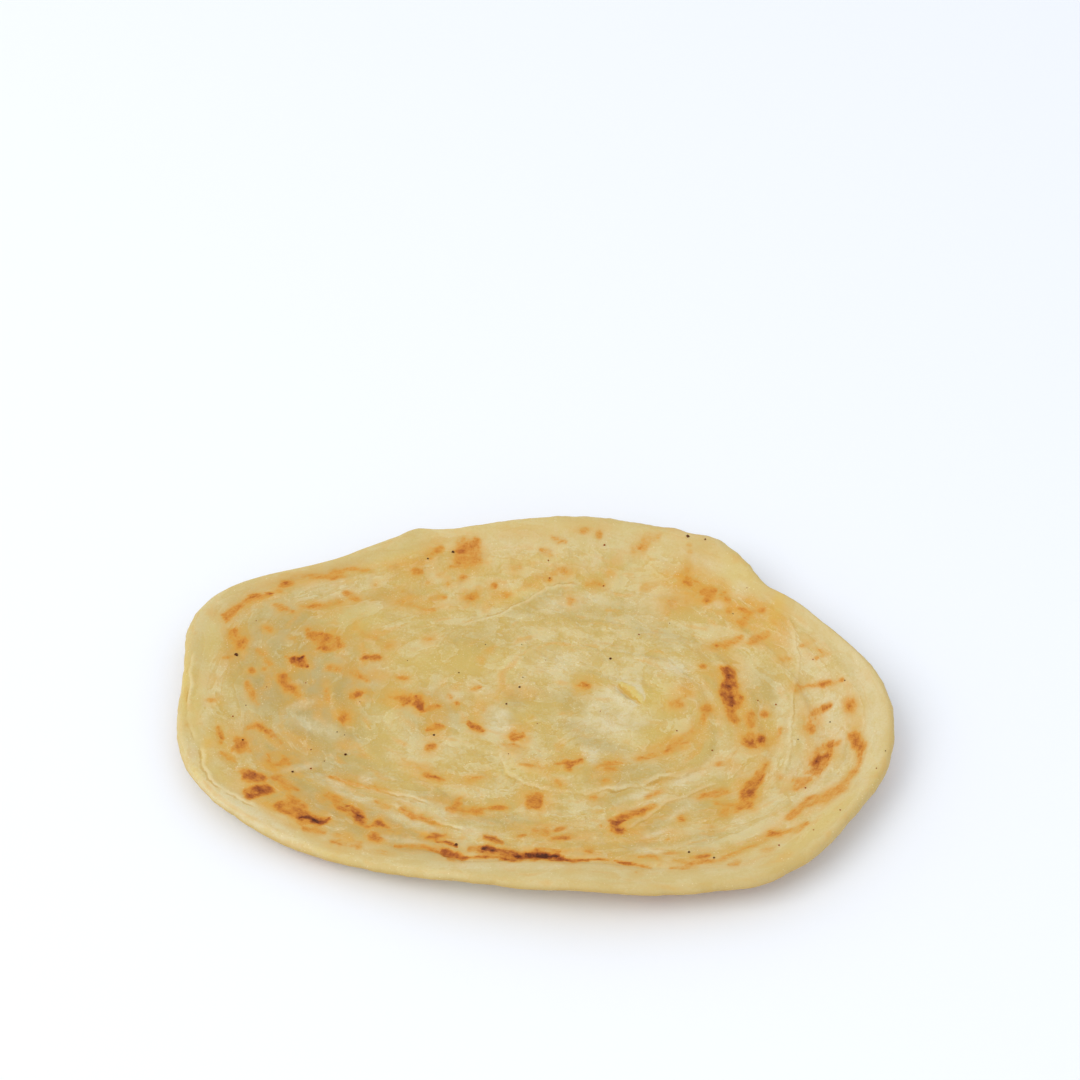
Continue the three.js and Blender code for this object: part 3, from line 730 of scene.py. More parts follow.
CHAR_SPECKS = [  # pixel and size in mm
    (236, 655, 1.4), (428, 559, 0.7), (453, 552, 1.0), (434, 736, 0.8), (345, 755, 0.9), (293, 772, 0.8),
    (519, 687, 0.8), (506, 704, 0.7), (459, 672, 0.55), (610, 659, 1.0), (688, 532, 1.2), (706, 538, 0.7),
    (689, 852, 0.8), (715, 858, 0.7), (829, 722, 0.55), (456, 845, 1.1), (242, 740, 0.6), (336, 732, 0.45),
    (344, 736, 0.4), (325, 761, 0.45), (407, 660, 0.35), (246, 706, 0.4), (523, 678, 0.4), (486, 644, 0.4),
    (522, 645, 0.35), (733, 614, 0.45), (797, 739, 0.45), (846, 680, 0.5), (887, 751, 0.45),
]
BRAN_SPECKS = [  # reddish brown ones
    (604, 544, 0.8), (548, 561, 0.6), (677, 731, 0.55), (360, 702, 0.4), (305, 683, 0.45), (256, 620, 0.4),
    (266, 687, 0.4), (508, 754, 0.4), (546, 660, 0.4), (600, 712, 0.4), (538, 723, 0.35), (669, 624, 0.4),
    (747, 588, 0.4), (876, 769, 0.5), (232, 717, 0.6), (310, 750, 0.5), (311, 769, 0.7), (639, 634, 0.6),
    (814, 659, 0.6), (757, 701, 0.5), (777, 705, 0.6), (711, 750, 0.6), (805, 788, 0.6), (779, 845, 0.6),
    (813, 830, 0.5), (840, 809, 0.6), (550, 579, 0.7), (604, 586, 0.6),
]


# How marks and the gold around them fade, in pixels, apart from these two in halves of a mark's width.
SPOT_FADE = (-1.85, -0.35)
STROKE_FADE = (-1.8, -0.2)
STROKE_SOFT = 1.8
MARK_RAGGED = 1.9  # how far noise shifts the marks' outlines
MARK_GROWS = 1.2
MARK_SOFT = 3.8
HALO_GROWS = 6
HALO_SOFT = 6
HALO_WIDER = 9  # around strokes and spots
HALO_DEEPER = 0.2
GOLDEN_GAIN = 1.35  # how strong the gold is at its own places, around areas and around other marks
AREA_GAIN = 1.3
MARK_GAIN = 0.8
FINE_STREAKS = (48, 6)  # streaks round the coil, and across each of its turns
BROAD_STREAKS = (22, 3)
TEAR_TINTED = 0.62  # half of the tinted length, in lengths of the tear


def photo_pixel(points):
    """Where points, in mm, fall in the photograph."""
    down = math.radians(CAMERA_DOWN)
    forward = np.array([0, math.cos(down), -math.sin(down)])
    up = np.array([0, math.sin(down), math.cos(down)])
    eye = np.array(CAMERA_AIM) - CAMERA_DISTANCE * forward
    ray = points - eye
    focal = CAMERA_LENS / SENSOR * PHOTO_SIZE
    depth = ray @ forward
    return PHOTO_SIZE / 2 + focal * ray[:, 0] / depth, PHOTO_SIZE / 2 - focal * (ray @ up) / depth


def near_to(u, v, corners, margin):
    """Which pixels lie in the box around some corners, made wider by margin."""
    low = np.min(corners, axis=0) - margin
    high = np.max(corners, axis=0) + margin
    return (u > low[0]) & (u < high[0]) & (v > low[1]) & (v < high[1])


def spot(u, v, place, ragged):
    """How much of an oval mark is at each pixel, from 0 to 1. ragged is in pixels."""
    middle_u, middle_v, length, width, lean, depth = place
    angle = math.radians(lean)
    along = (u - middle_u) * math.cos(angle) - (v - middle_v) * math.sin(angle)
    across = (u - middle_u) * math.sin(angle) + (v - middle_v) * math.cos(angle)
    distance = np.hypot(along / (length / 2), across / (width / 2)) + ragged * 2 / (length + width)
    return depth * ramp(-distance, *SPOT_FADE)


def spots(u, v, places, ragged):
    """The deepest of many oval marks at each pixel."""
    total = np.zeros_like(u)
    for place in places:
        far = max(place[2], place[3]) + 4
        near = (np.abs(u - place[0]) < far) & (np.abs(v - place[1]) < far)
        total[near] = np.maximum(total[near], spot(u[near], v[near], place, ragged[near]))
    return total


def along_run(u, v, start, end):
    """How far along a straight run each pixel lies, from 0 to 1, and how far from it."""
    run = np.subtract(end, start)
    part = np.clip(((u - start[0]) * run[0] + (v - start[1]) * run[1]) / (run @ run), 0, 1)
    return part, np.hypot(u - start[0] - part * run[0], v - start[1] - part * run[1])


def stroke(u, v, width, depth, through, ragged):
    """How much of a stroke is at each pixel. It thins out to both ends."""
    best = np.zeros_like(u)
    total = len(through) - 1
    soft = min(STROKE_SOFT, 0.3 * width)
    uneven = min(0.8, 0.13 * width) * ragged
    for number, (start, end) in enumerate(zip(through, through[1:])):
        part, distance = along_run(u, v, start, end)
        half = width / 2 * (0.45 + 0.55 * np.sin(math.pi * (number + part) / total))
        best = np.maximum(best, depth * ramp(-(distance + uneven) / (half + soft), *STROKE_FADE))
    return best


def strokes(u, v, places, ragged):
    """The deepest of many strokes at each pixel."""
    total = np.zeros_like(u)
    for width, depth, through in places:
        near = near_to(u, v, through, width + 4)
        total[near] = np.maximum(total[near], stroke(u[near], v[near], width, depth, through, ragged[near]))
    return total


def depth_inside(u, v, corners):
    """How far each pixel lies inside an area's outline. It is negative outside."""
    nearest = np.full_like(u, 1e9)
    inside = np.zeros(u.shape, bool)
    for start, end in zip(corners, corners[1:] + corners[:1]):
        nearest = np.minimum(nearest, along_run(u, v, start, end)[1])
        if start[1] != end[1]:
            crossing = start[0] + (v - start[1]) / (end[1] - start[1]) * (end[0] - start[0])
            inside ^= ((v < start[1]) != (v < end[1])) & (u < crossing)
    return np.where(inside, nearest, -nearest)


def areas(u, v, places, ragged, grow, soft):
    """The deepest of many outlined areas at each pixel. ragged, grow and soft are in pixels."""
    total = np.zeros_like(u)
    for depth, corners in places:
        near = near_to(u, v, corners, grow + 6)
        depth_in = depth_inside(u[near], v[near], corners) - ragged[near] + grow
        total[near] = np.maximum(total[near], depth * ramp(depth_in, -soft, soft))
    return total


# ---- the mesh


def disc_grid(cells):
    """A square grid bent into a disc: the angle and the distance out, from 0 to 1, of each corner."""
    steps = np.linspace(-1, 1, cells + 1)
    a, b = np.meshgrid(steps, steps, indexing="ij")
    wide = np.abs(a) > np.abs(b)
    safe_a = np.where(a == 0, 1, a)
    safe_b = np.where(b == 0, 1, b)
    out = np.where(wide, a, b)
    angle = np.where(wide, math.pi / 4 * b / safe_a, math.pi / 2 - math.pi / 4 * a / safe_b)
    angle = np.where(out < 0, angle + math.pi, angle)
    return np.degrees(angle).ravel(), np.abs(out).ravel()


def grid_faces(cells, first, flip):
    side = cells + 1
    i, j = np.meshgrid(np.arange(cells), np.arange(cells), indexing="ij")
    corner = (first + i * side + j).ravel()
    loop = [corner, corner + side, corner + side + 1, corner + 1]
    return np.stack(loop[::-1] if flip else loop, axis=1)


def grid_border(cells, first):
    """The grid's outer corners, in order round the disc."""
    side = cells + 1
    run = np.arange(cells)
    right = cells * side + run
    back = (cells - run) * side + cells
    left = cells - run
    front = run * side
    return first + np.concatenate([right, back, left, front])


def bread_corners():
    """The turn, share and level of every corner: level 1 is the top face and 0 the underside."""
    stations = []
    for cells, level in ((TOP_CELLS, 1.0), (TOP_CELLS // 2, 0.0)):
        turn, out = disc_grid(cells)
        full = 1 - EDGE_RADIUS / oval_radius(turn)
        x, y = plan(turn, out * full, centre=(0, 0))
        stations.append((x, y, np.full_like(x, level)))
    turn = disc_grid(TOP_CELLS)[0][grid_border(TOP_CELLS, 0)]
    wobble = RIM_WOBBLE * rough(81, *plan(turn, np.ones_like(turn)), 6)
    for step in range(1, RIM_STEPS):
        angle = math.pi / 2 - math.pi * step / RIM_STEPS
        inset = EDGE_RADIUS * (1 - math.cos(angle)) - math.cos(angle) * wobble
        x, y = plan(turn, 1 - inset / oval_radius(turn), centre=(0, 0))
        stations.append((x, y, np.full_like(x, 0.5 + 0.5 * math.sin(angle))))
    return [np.concatenate(values) for values in zip(*stations)]


def bread_faces():
    top_count = (TOP_CELLS + 1) ** 2
    under_cells = TOP_CELLS // 2
    under_count = (under_cells + 1) ** 2
    border = grid_border(TOP_CELLS, 0)
    round_count = len(border)
    rings = [border]
    for step in range(RIM_STEPS - 1):
        rings.append(top_count + under_count + step * round_count + np.arange(round_count))
    quads = [grid_faces(TOP_CELLS, 0, flip=False), grid_faces(under_cells, top_count, flip=True)]
    for upper, lower in zip(rings, rings[1:]):
        quads.append(np.stack([upper, lower, np.roll(lower, -1), np.roll(upper, -1)], axis=1))
    fine = rings[-1]
    coarse = grid_border(under_cells, top_count)
    first, middle, last = fine[0::2], fine[1::2], np.roll(fine, -2)[0::2]
    following = np.roll(coarse, -1)
    triangles = [
        np.stack([first, coarse, middle], axis=1),
        np.stack([middle, coarse, following], axis=1),
        np.stack([middle, following, last], axis=1),
    ]
    return np.concatenate(quads).tolist() + np.concatenate(triangles).tolist()


def rim_lines(turn, level):
    """The edges of the layers, as shallow lines along the side of the rim."""
    lines = np.zeros_like(turn)
    for seed, waves, height, spread, deep in RIM_LINES:
        uneven = noise(seed, turn / 360 * waves, np.zeros_like(turn), period=waves)
        lines += deep * bell(level - height, spread) * uneven
    return lines


def bread_surface():
    """Every corner's place in mm, with its turn, share and level."""
    x, y, level = bread_corners()
    turn, share = place_of(x, y)
    low = under_face(turn, share, x, y)
    high = top_face(turn, share, x, y)
    z = low + (high - low) * level - rim_lines(turn, level)
    return np.stack([x, y, z], axis=1), turn, share, level


def centred(points):
    """The bread's box is centred on the origin, as its solid's is."""
    middle = (points.min(0) + points.max(0)) / 2
    return points - np.array([middle[0], middle[1], 0])


# ---- browning and other colour masks of each corner


def random_marks(seed, count, depth_range, length_range):
    """Seeded marks in mm: middle, length, width, lean and depth of colour."""
    rng = np.random.default_rng(seed)
    marks = []
    for _ in range(count):
        turn = rng.uniform(-180, 180)
        share = math.sqrt(rng.uniform(0.01, 0.85))
        x, y = plan(np.array([turn]), np.array([share]))
        length = rng.uniform(*length_range)
        width = length * rng.uniform(0.35, 0.8)
        lean = turn + 90 + rng.normal(0, 25)
        marks.append((x[0], -y[0], length, width, lean, rng.uniform(*depth_range)))
    return marks


def toast_on_top(u, v, x, y, streaks):
    """The browned marks of the top face."""
    ragged = MARK_RAGGED * rough(91, x, y, 2.6, octaves=3) - 0.8 * streaks
    marks = areas(u, v, BROWNED_AREAS, ragged, MARK_GROWS, MARK_SOFT)
    marks = np.maximum(marks, strokes(u, v, BROWNED_STROKES, ragged))
    marks = np.maximum(marks, spots(u, v, BROWNED_SPOTS, ragged))
    uneven = 0.2 * rough(88, x, y, 6, octaves=2) + 0.15 * rough(89, x, y, 2.2, octaves=2)
    return marks * (0.96 + 0.14 * streaks + uneven)


def toast_below(x, y):
    """The underside has browned more, in larger marks."""
    ragged = 2.6 * rough(95, x, y, 7, octaves=4)
    large = spots(x, -y, random_marks(96, 60, (0.35, 0.75), (14, 34)), ragged)
    small = spots(x, -y, random_marks(97, 130, (0.4, 0.85), (4, 11)), 0.5 * ragged)
    return np.maximum(large, small)


def golden_on_top(u, v, x, y, streaks, ragged):
    """The soft gold between the browned marks and the pale dough."""
    gold = GOLDEN_GAIN * spots(u, v, GOLDEN, ragged)
    gold = np.maximum(gold, AREA_GAIN * areas(u, v, BROWNED_AREAS, ragged, HALO_GROWS, HALO_SOFT))
    wide_strokes = [
        (width + HALO_WIDER, depth + HALO_DEEPER, through) for width, depth, through in BROWNED_STROKES
    ]
    gold = np.maximum(gold, MARK_GAIN * strokes(u, v, wide_strokes, ragged))
    wide_spots = [
        (middle_u, middle_v, length + HALO_WIDER, width + HALO_WIDER - 1, lean, depth + HALO_DEEPER)
        for middle_u, middle_v, length, width, lean, depth in BROWNED_SPOTS
    ]
    gold = np.maximum(gold, MARK_GAIN * spots(u, v, wide_spots, ragged))
    strewn = 0.6 * ramp(streaks + 0.35 * rough(99, x, y, 6), 0.2, 0.8)
    return np.maximum(gold * (0.8 + 0.5 * streaks), strewn)


def masks(points, turn, share, level):
    """What the material reads at each corner, by name."""
    x, y = points[:, 0], points[:, 1]
    u, v = photo_pixel(points)
    on_top = ramp(level, 0.35, 0.75)
    inner = flaky(turn, share)
    soft = 5 * rough(93, x, y, 6)
    streaks = strands(110, turn, share, x, y, *FINE_STREAKS)
    sheets = strands(114, turn, share, x, y, *BROAD_STREAKS)
    pale = 0.5 + 0.6 * sheets + 0.4 * rough(94, x, y, 12) + 0.4 * streaks
    golden = golden_on_top(u, v, x, y, streaks, soft) * (0.6 + 0.4 * inner)
    below = toast_below(x, y) * (1 - ramp(level, 0.0, 0.25))
    beyond, clear_edge = nearest_layer_edge(turn, share, x, y)
    along_tear, across_tear = tear_place(x, y)
    narrowing = np.sqrt(np.maximum(1 - (along_tear / TEAR["length"] / TEAR_TINTED) ** 2, 0.03))
    return {
        "toast": np.clip(toast_on_top(u, v, x, y, streaks), 0, 1) * on_top + below,
        "golden": np.clip(golden, 0, 1) * on_top,
        "pale": np.clip(pale, 0, 1),
        "floury": spots(u, v, FLOURY_AND_LIT, soft) * on_top,
        # greyish thin dough together with painted shade on the left and in the front hollow
        "clear": spots(u, v, THIN_AND_SHADED, soft) * on_top,
        "buttery": spots(u, v, BUTTERY, soft) * on_top,
        "border": (1 - inner) * np.where(level < 0.05, 0, 1),
        # painted shade on the rim's lower, downward-facing side
        "side": ramp(level, 0.02, 0.12) * (1 - ramp(level, 0.35, 0.8)),
        "beyond": beyond,
        "edge": clear_edge * on_top,
        "tear": ramp(narrowing, 0.2, 0.6) * on_top,
        "across": np.clip(across_tear / narrowing, -TEAR["length"], TEAR["length"]),
        # painted shade along the rim's outer edge at the front right
        "rim": ramp(share, 0.955, 0.99) * on_top * bell(turn_between(-20, turn), 60),
    }


def new_object(name, data):
    thing = bpy.data.objects.new(name, data)
    bpy.context.scene.collection.objects.link(thing)
    return thing


def new_mesh_object(name, points, faces, material):
    mesh = bpy.data.meshes.new(name)
    mesh.from_pydata((points * MM).tolist(), [], faces)
    mesh.polygons.foreach_set("use_smooth", [True] * len(mesh.polygons))
    mesh.update()
    mesh.materials.append(material)
    return new_object(name, mesh)


# ---- materials

DOUGH_PLAIN = (202, 172, 96)
DOUGH_PALE = (212, 191, 134)
# greyish tone of thin dough, also laid on as painted shade
DOUGH_THIN_AND_SHADED = (174, 150, 90)
DOUGH_BUTTERY = (216, 185, 84)
# whitish floury tone, also laid on as a painted highlight across the back
DOUGH_FLOURY_AND_LIT = (218, 203, 160)
DOUGH_BORDER = (212, 191, 134)
DOUGH_GOLD = (214, 156, 56)
# darker golden for painted shade on the rim's downward-facing side
DOUGH_EDGE_SHADE = (198, 160, 78)
# pale grains and painted glints of oil
GRAIN_AND_GLINT = (236, 222, 178)
FLAKE_EDGE = (232, 218, 172)
FLAKE_FOOT = (204, 158, 66)
# golden line of painted shadow at the foot of each layer's step
LAYER_FOOT_SHADOW = (190, 146, 60)
TORN_SHEET = (218, 192, 96)
TORN_SLIT = (203, 160, 58)
CHAR_TINTS = [(66, 38, 22), (110, 64, 36)]
BRAN_TINTS = [(140, 72, 34), (176, 102, 48)]
FLOOR_TINTS = [(244, 245, 246), (248, 248, 249)]
TOAST_STOPS = [  # depth of colour, its tint and how much it covers
    (0.05, (212, 168, 84), 0.0),
    (0.25, (208, 158, 72), 0.34),
    (0.42, (211, 146, 50), 0.76),
    (0.56, (203, 131, 44), 0.95),
    (0.7, (180, 104, 38), 1.0),
    (0.84, (149, 76, 30), 1.0),
    (0.98, (86, 42, 22), 1.0),
]
COVER = {  # how much of what is under them these hide
    "border": 0.55,
    "clear": 0.75,
    "buttery": 0.6,
    "sheet foot": 0.25,
    "sheet edge": 0.2,
    "layer lip": 0.4,
    "layer foot": 0.65,
    "rim": 0.45,
    "side": 0.8,
    "light dots": 0.3,
    "dark dots": 0.24,
    "grains": 0.5,
}
# Bands start, are full, start to fade and end here: for thin sheets in heights of their noise, and for
# layers and the tear in mm beyond the edge or slit.
SHEET_EDGE = (0.5, 0.515, 0.52, 0.55)
SHEET_FOOT = (0.44, 0.485, 0.49, 0.505)
LAYER_LIP = (-1.8, -0.5, -0.2, 0.1)
# where the painted shadow at a layer's foot lies
LAYER_GAP = (-0.1, 0.25, 0.45, 0.85)
TEAR_BANDS = [  # with how much each one hides, and its tint
    (-3.2, -2.2, -1.9, -1.3, 0.6, DOUGH_FLOURY_AND_LIT),
    (2.6, 3.4, 3.8, 5.0, 0.6, DOUGH_FLOURY_AND_LIT),
    (-1.8, -1.2, -0.3, 0.3, 0.35, FLAKE_FOOT),
    (-0.1, 0.6, 1.9, 3.0, 0.5, TORN_SHEET),
    (-0.7, -0.2, 0.1, 0.6, 0.85, TORN_SLIT),
]
LAYER_UNEVEN = 0.9  # fine noise moves the bands by up to half of these, in mm
TEAR_UNEVEN = 1.2
BUMP_STRENGTH = 0.4
BUMP_HEIGHT = 0.2 * MM
SKIN = {
    "Subsurface Weight": 0.2,
    "Subsurface Radius": (1.0, 0.62, 0.28),
    "Subsurface Scale": 1.2 * MM,
}


def colour(red, green, blue):
    """A colour given as on a screen, from 0 to 255, as the renderer takes it."""
    parts = [value / 255 for value in (red, green, blue)]
    linear = [p / 12.92 if p <= 0.04045 else ((p + 0.055) / 1.055) ** 2.4 for p in parts]
    return (*linear, 1)


class Graph:
    """Makes a material's nodes. An input is set to a value, or linked where it is given a socket."""

    def __init__(self, name):
        self.material = bpy.data.materials.new(name)
        self.material.use_nodes = True
        self.tree = self.material.node_tree
        self.tree.nodes.clear()

    def add(self, kind, inputs=None, **settings):
        node = self.tree.nodes.new(kind)
        for key, value in settings.items():
            setattr(node, key, value)
        for key, value in (inputs or {}).items():
            if isinstance(value, bpy.types.NodeSocket):
                self.tree.links.new(value, node.inputs[key])
            else:
                node.inputs[key].default_value = value
        return node

    def mask(self, name):
        return self.add("ShaderNodeAttribute", attribute_name=name).outputs["Fac"]

    def math(self, operation, first, second=0.5, third=0.5):
        node = self.add("ShaderNodeMath", {0: first, 1: second, 2: third}, operation=operation)
        return node.outputs[0]

    def times(self, first, *others):
        for other in others:
            first = self.math("MULTIPLY", first, other)
        return first

    def sway(self, value, noise, amount):
        """A value moved up and down by a noise from 0 to 1, by half the amount at most."""
        return self.math("ADD", value, self.math("MULTIPLY_ADD", noise, amount, -amount / 2))

    def along_coil(self, stretch):
        """The place in the space bent along the coil, so that noise on it is drawn out along it."""
        place = self.add("ShaderNodeAttribute", attribute_name="coil").outputs["Vector"]
        node = self.add("ShaderNodeVectorMath", {0: place, 1: (1, 1, stretch)}, operation="MULTIPLY")
        return node.outputs[0]

    def noise(self, size_mm, detail=3.0, roughness=0.6, distortion=0.0, place=None):
        inputs = {
            "Vector": place or self.add("ShaderNodeTexCoord").outputs["Object"],
            "Scale": 1 / (size_mm * MM),
            "Detail": detail,
            "Roughness": roughness,
            "Distortion": distortion,
        }
        return self.add("ShaderNodeTexNoise", inputs).outputs["Fac"]

    def between(self, value, low, high):
        """0 below low, 1 above high, and smooth between them."""
        inputs = {"Value": value, "From Min": low, "From Max": high}
        node = self.add("ShaderNodeMapRange", inputs, interpolation_type="SMOOTHSTEP")
        return node.outputs["Result"]

    def band(self, value, start, full, fading, end):
        return self.times(self.between(value, start, full), self.between(value, end, fading))

    def mix(self, amount, under, over):
        node = self.add("ShaderNodeMix", data_type="RGBA")
        for key, value in (("Factor", amount), ("A", under), ("B", over)):
            socket = next(s for s in node.inputs if s.name == key and s.enabled)
            if isinstance(value, bpy.types.NodeSocket):
                self.tree.links.new(value, socket)
            else:
                socket.default_value = value
        return next(s for s in node.outputs if s.enabled)

    def coat(self, tint, place, cover, tone):
        """The tint with a tone over it in a place, where it hides so much of it."""
        return self.mix(self.times(place, cover), tint, colour(*tone))

    def colour_ramp(self, value, stops):
        node = self.add("ShaderNodeValToRGB", {"Fac": value})
        elements = node.color_ramp.elements
        for place, (red, green, blue), alpha in stops[2:]:
            elements.new(place)
        for element, (place, tint, alpha) in zip(elements, stops):
            element.position = place
            element.color = (*colour(*tint)[:3], alpha)
        return node.outputs["Color"], node.outputs["Alpha"]

    def finish(self, shader):
        output = self.add("ShaderNodeOutputMaterial")
        self.tree.links.new(shader.outputs[0], output.inputs["Surface"])
        return self.material


def flake_sheets(g):
    """Thin sheets that lie on the dough: where they are, and the lines of their raised edges and of
    the fat that gathers at their feet."""
    rise = g.noise(12, detail=5, roughness=0.55, distortion=0.4, place=g.along_coil(2))
    over = g.between(rise, 0.49, 0.515)
    broken = g.between(g.noise(6, detail=2), 0.44, 0.6)
    return over, g.times(g.band(rise, *SHEET_EDGE), broken), g.band(rise, *SHEET_FOOT)


def layer_lines(g, tint, fine):
    """A pale line on the raised edge of each layer, and a thin golden line of painted shadow at its foot,
    where it meets the next.
    """
    beyond = g.sway(g.mask("beyond"), fine, LAYER_UNEVEN)
    lip = g.times(g.band(beyond, *LAYER_LIP), g.mask("edge"))
    tint = g.coat(tint, lip, COVER["layer lip"], FLAKE_EDGE)
    broken = g.between(g.noise(5, detail=2), 0.36, 0.56)
    # painted shadow at the foot of the step
    foot = g.times(g.band(beyond, *LAYER_GAP), broken, g.mask("edge"))
    return g.coat(tint, foot, COVER["layer foot"], LAYER_FOOT_SHADOW)


def torn_tint(g, tint, fine):
    """The tear: a dark line along its slit, clear yellow dough behind it and pale ragged lips."""
    across = g.sway(g.mask("across"), fine, TEAR_UNEVEN)
    for start, full, fading, end, cover, tone in TEAR_BANDS:
        place = g.times(g.band(across, start, full, fading, end), g.mask("tear"))
        tint = g.coat(tint, place, cover, tone)
    return tint


def dough_tint(g, fine, mottle, sheets):
    """The colour of the dough before it browns."""
    over, edge, foot = sheets
    fibres = g.noise(2.4, detail=3, roughness=0.6, place=g.along_coil(1.6))
    pale = g.mask("pale")
    for noise, amount in ((mottle, 0.9), (over, 0.3), (fibres, 0.8), (fine, 1.7)):
        pale = g.sway(pale, noise, amount)
    tint = g.mix(g.between(pale, 0.0, 1.0), colour(*DOUGH_PLAIN), colour(*DOUGH_PALE))
    # the "clear" mask darkens for thin dough and as painted shade on the left and in the front hollow
    for name, tone in (("border", DOUGH_BORDER), ("clear", DOUGH_THIN_AND_SHADED), ("buttery", DOUGH_BUTTERY)):
        tint = g.coat(tint, g.mask(name), COVER[name], tone)
    golden = g.times(g.mask("golden"), g.between(mottle, 0.15, 0.55))
    tint = g.mix(golden, tint, colour(*DOUGH_GOLD))
    # whitish floury places, and the painted highlight across the back
    uneven = g.math("MULTIPLY_ADD", g.between(mottle, 0.3, 0.6), 0.5, g.times(fine, 0.8))
    tint = g.mix(g.times(g.mask("floury"), uneven), tint, colour(*DOUGH_FLOURY_AND_LIT))
    inside = g.math("MULTIPLY_ADD", g.mask("border"), -0.6, 1)
    tint = g.coat(tint, g.times(foot, inside), COVER["sheet foot"], FLAKE_FOOT)
    tint = g.coat(tint, g.times(edge, inside), COVER["sheet edge"], FLAKE_EDGE)
    tint = layer_lines(g, tint, fine)
    tint = torn_tint(g, tint, fine)
    # painted shade: the rim's lower side and its outer band turn darker golden
    for name in ("rim", "side"):
        tint = g.coat(tint, g.mask(name), COVER[name], DOUGH_EDGE_SHADE)
    return tint


def speckled(g, tint):
    """Tiny light and dark dots all over the dough."""
    dots = g.noise(0.5, detail=2, roughness=0.6)
    inside = g.math("MULTIPLY_ADD", g.mask("border"), -0.7, 1)
    patchy = g.times(g.between(g.noise(8, detail=3), 0.4, 0.62), inside)
    light = g.times(g.between(dots, 0.57, 0.68), patchy)
    tint = g.coat(tint, light, COVER["light dots"], GRAIN_AND_GLINT)
    return g.coat(tint, g.between(dots, 0.42, 0.32), COVER["dark dots"], FLAKE_FOOT)


def grain_and_glint_specks(g):
    """Small light grains and painted glints of oil, strewn in loose groups."""
    inputs = {"Vector": g.add("ShaderNodeTexCoord").outputs["Object"], "Scale": 1 / (1.3 * MM)}
    grain = g.add("ShaderNodeTexVoronoi", inputs)
    sparse = g.between(g.noise(6, detail=2), 0.5, 0.62)
    return g.times(g.between(grain.outputs["Distance"], 0.2, 0.1), sparse)


def browned(g, tint, fine, fibres, over):
    """The colour with the browning on it, and how much of it is browned."""
    toast = g.mask("toast")
    uneven = 0.0
    for noise, amount in ((fibres, 0.4), (fine, 0.44), (over, 0.1)):
        uneven = g.sway(uneven, noise, amount)
    toast = g.math("ADD", toast, g.times(uneven, g.between(toast, 0.02, 0.4)))
    brown, amount = g.colour_ramp(toast, TOAST_STOPS)
    return g.mix(amount, tint, brown), amount


def baked_dough():
    g = Graph("baked_dough")
    fine = g.noise(0.8, detail=4, roughness=0.65)
    mottle = g.noise(3.6, detail=4, distortion=0.5)
    fibres = g.noise(2.6, detail=4, roughness=0.65, place=g.along_coil(2.5))
    sheets = flake_sheets(g)
    tint = speckled(g, dough_tint(g, fine, mottle, sheets))
    tint = g.coat(tint, grain_and_glint_specks(g), COVER["grains"], GRAIN_AND_GLINT)
    tint, amount = browned(g, tint, fine, fibres, sheets[0])

    relief = g.math("ADD", g.noise(0.7, detail=4), g.times(sheets[0], 0.4))
    bump = g.add("ShaderNodeBump", {"Height": relief, "Strength": BUMP_STRENGTH, "Distance": BUMP_HEIGHT})
    inputs = {
        "Base Color": tint,
        "Roughness": g.math("MULTIPLY_ADD", g.noise(2.2, detail=3), 0.34, 0.34),
        "Normal": bump.outputs[0],
        "Specular IOR Level": g.math("MULTIPLY_ADD", amount, -0.14, 0.28),
    }
    return g.finish(g.add("ShaderNodeBsdfPrincipled", inputs | SKIN))


def speck_material(name, dark, light):
    g = Graph(name)
    tint = g.mix(g.between(g.noise(0.4), 0.4, 0.6), colour(*dark), colour(*light))
    dull = {"Base Color": tint, "Roughness": 0.8, "Specular IOR Level": 0.1}
    return g.finish(g.add("ShaderNodeBsdfPrincipled", dull))


def pale_floor():
    g = Graph("floor")
    tint = g.mix(g.noise(900, detail=1), *[colour(*tone) for tone in FLOOR_TINTS])
    return g.finish(g.add("ShaderNodeBsdfPrincipled", {"Base Color": tint, "Roughness": 0.9}))


# ---- pieces

SPECK_SIDES = 7
SPECK_RINGS = 3
SPECK_RISE = 0.1  # how far a speck's middle lies over the dough, in sizes of the speck


def make_flatbread():
    """The bread, and the corners of its top face."""
    points, turn, share, level = bread_surface()
    points = centred(points)
    piece = new_mesh_object("flatbread_crust", points, bread_faces(), baked_dough())
    for name, values in masks(points, turn, share, level).items():
        attribute = piece.data.attributes.new(name, "FLOAT", "POINT")
        attribute.data.foreach_set("value", values.astype(np.float32))
    attribute = piece.data.attributes.new("coil", "FLOAT_VECTOR", "POINT")
    attribute.data.foreach_set("vector", (coil_place(turn, share) * MM).ravel().astype(np.float32))
    return piece, points[level > 0.99]


def make_specks(name, places, top, seed, material):
    """Specks that lie half sunk in the top face, as one joined mesh."""
    rng = np.random.default_rng(seed)
    u, v = photo_pixel(top)
    points = []
    faces = []
    for speck_u, speck_v, size in places:
        ground = top[np.argmin(np.hypot(u - speck_u, v - speck_v))]
        corners, hull = speck_shape(rng, size)
        first = sum(len(p) for p in points)
        points.append(corners + ground + [0, 0, size * SPECK_RISE])
        faces += [[first + index for index in face] for face in hull]
    return new_mesh_object(name, np.concatenate(points), faces, material)


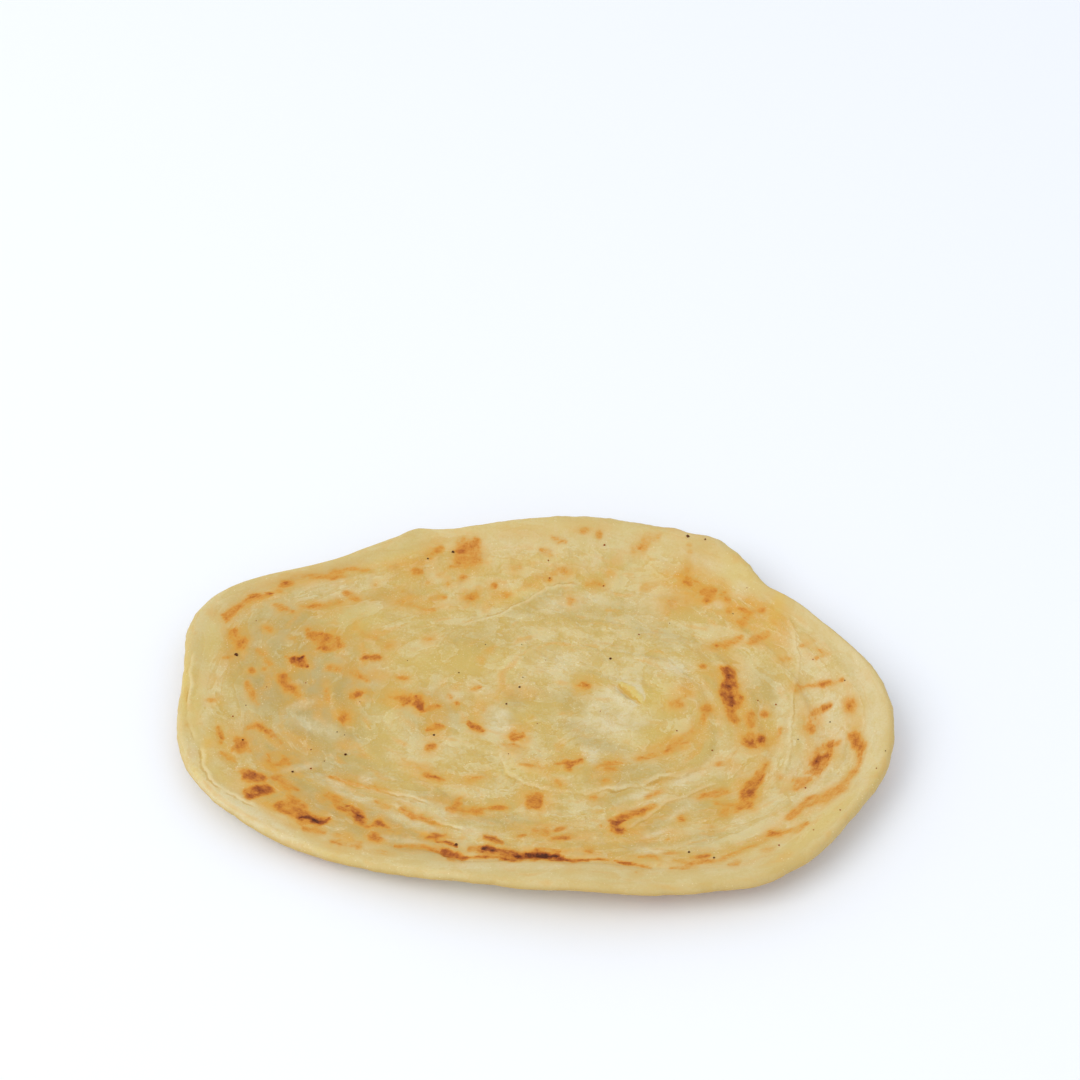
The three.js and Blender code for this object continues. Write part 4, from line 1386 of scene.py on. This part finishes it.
def speck_shape(rng, size):
    """A small uneven crumb: rings of corners between two poles."""
    half_height = 0.3 * size
    corners = [(0, 0, -half_height)]
    for ring in range(1, SPECK_RINGS + 1):
        slope = math.pi * ring / (SPECK_RINGS + 1)
        for step in range(SPECK_SIDES):
            angle = 2 * math.pi * step / SPECK_SIDES
            radius = size / 2 * math.sin(slope) * rng.uniform(0.75, 1.2)
            height = -half_height * math.cos(slope)
            corners.append((radius * math.cos(angle), radius * math.sin(angle), height))
    corners.append((0, 0, half_height))
    last = len(corners) - 1
    faces = []
    for step in range(SPECK_SIDES):
        after = (step + 1) % SPECK_SIDES
        faces.append((0, 1 + after, 1 + step))
        for low in range(1, 1 + (SPECK_RINGS - 1) * SPECK_SIDES, SPECK_SIDES):
            high = low + SPECK_SIDES
            faces.append((low + step, low + after, high + after, high + step))
        faces.append((last - SPECK_SIDES + step, last - SPECK_SIDES + after, last))
    return np.array(corners), faces


# ---- floor, light and camera

FLOOR_HALF = 3000.0
KEY_EYE = (-1.2, -0.6, 1.6)
KEY_SIZE = 1.4
KEY_POWER = 16.0
KEY_TINT = (0.98, 0.97, 0.95)
SKY_TINT = (0.93, 0.98, 1.06)
SKY_STRENGTH = 0.865


def aim(thing, eye, target):
    thing.location = eye
    thing.rotation_euler = (Vector(target) - Vector(eye)).to_track_quat("-Z", "Y").to_euler()


def make_floor():
    corners = np.array([(-1, -1, 0), (1, -1, 0), (1, 1, 0), (-1, 1, 0)]) * FLOOR_HALF
    return new_mesh_object("floor", corners, [(0, 1, 2, 3)], pale_floor())


def make_key_light():
    light = bpy.data.lights.new("key", "AREA")
    light.size = KEY_SIZE
    light.energy = KEY_POWER
    light.color = KEY_TINT
    aim(new_object("key", light), KEY_EYE, (0, 0, 0))


def make_sky():
    """Even light from all around."""
    world = bpy.data.worlds.new("studio")
    world.use_nodes = True
    background = world.node_tree.nodes["Background"]
    background.inputs["Color"].default_value = (*SKY_TINT, 1)
    background.inputs["Strength"].default_value = SKY_STRENGTH
    bpy.context.scene.world = world


def make_camera():
    camera = bpy.data.cameras.new("camera")
    camera.lens = CAMERA_LENS
    camera.sensor_width = SENSOR
    camera.clip_end = 20
    view = new_object("camera", camera)
    down = math.radians(CAMERA_DOWN)
    target = Vector(CAMERA_AIM) * MM
    back = Vector((0, -math.cos(down), math.sin(down)))
    aim(view, target + back * CAMERA_DISTANCE * MM, target)
    bpy.context.scene.camera = view


bread, top_points = make_flatbread()
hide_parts("flatbread")
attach(bread, "root")

char = speck_material("char", *CHAR_TINTS)
bran = speck_material("bran", *BRAN_TINTS)
for specks in (
    make_specks("char_specks", CHAR_SPECKS, top_points, 5, char),
    make_specks("bran_specks", BRAN_SPECKS, top_points, 6, bran),
):
    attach(specks, "root")

make_floor()
make_key_light()
make_sky()
make_camera()
bpy.context.scene.view_settings.view_transform = "Standard"
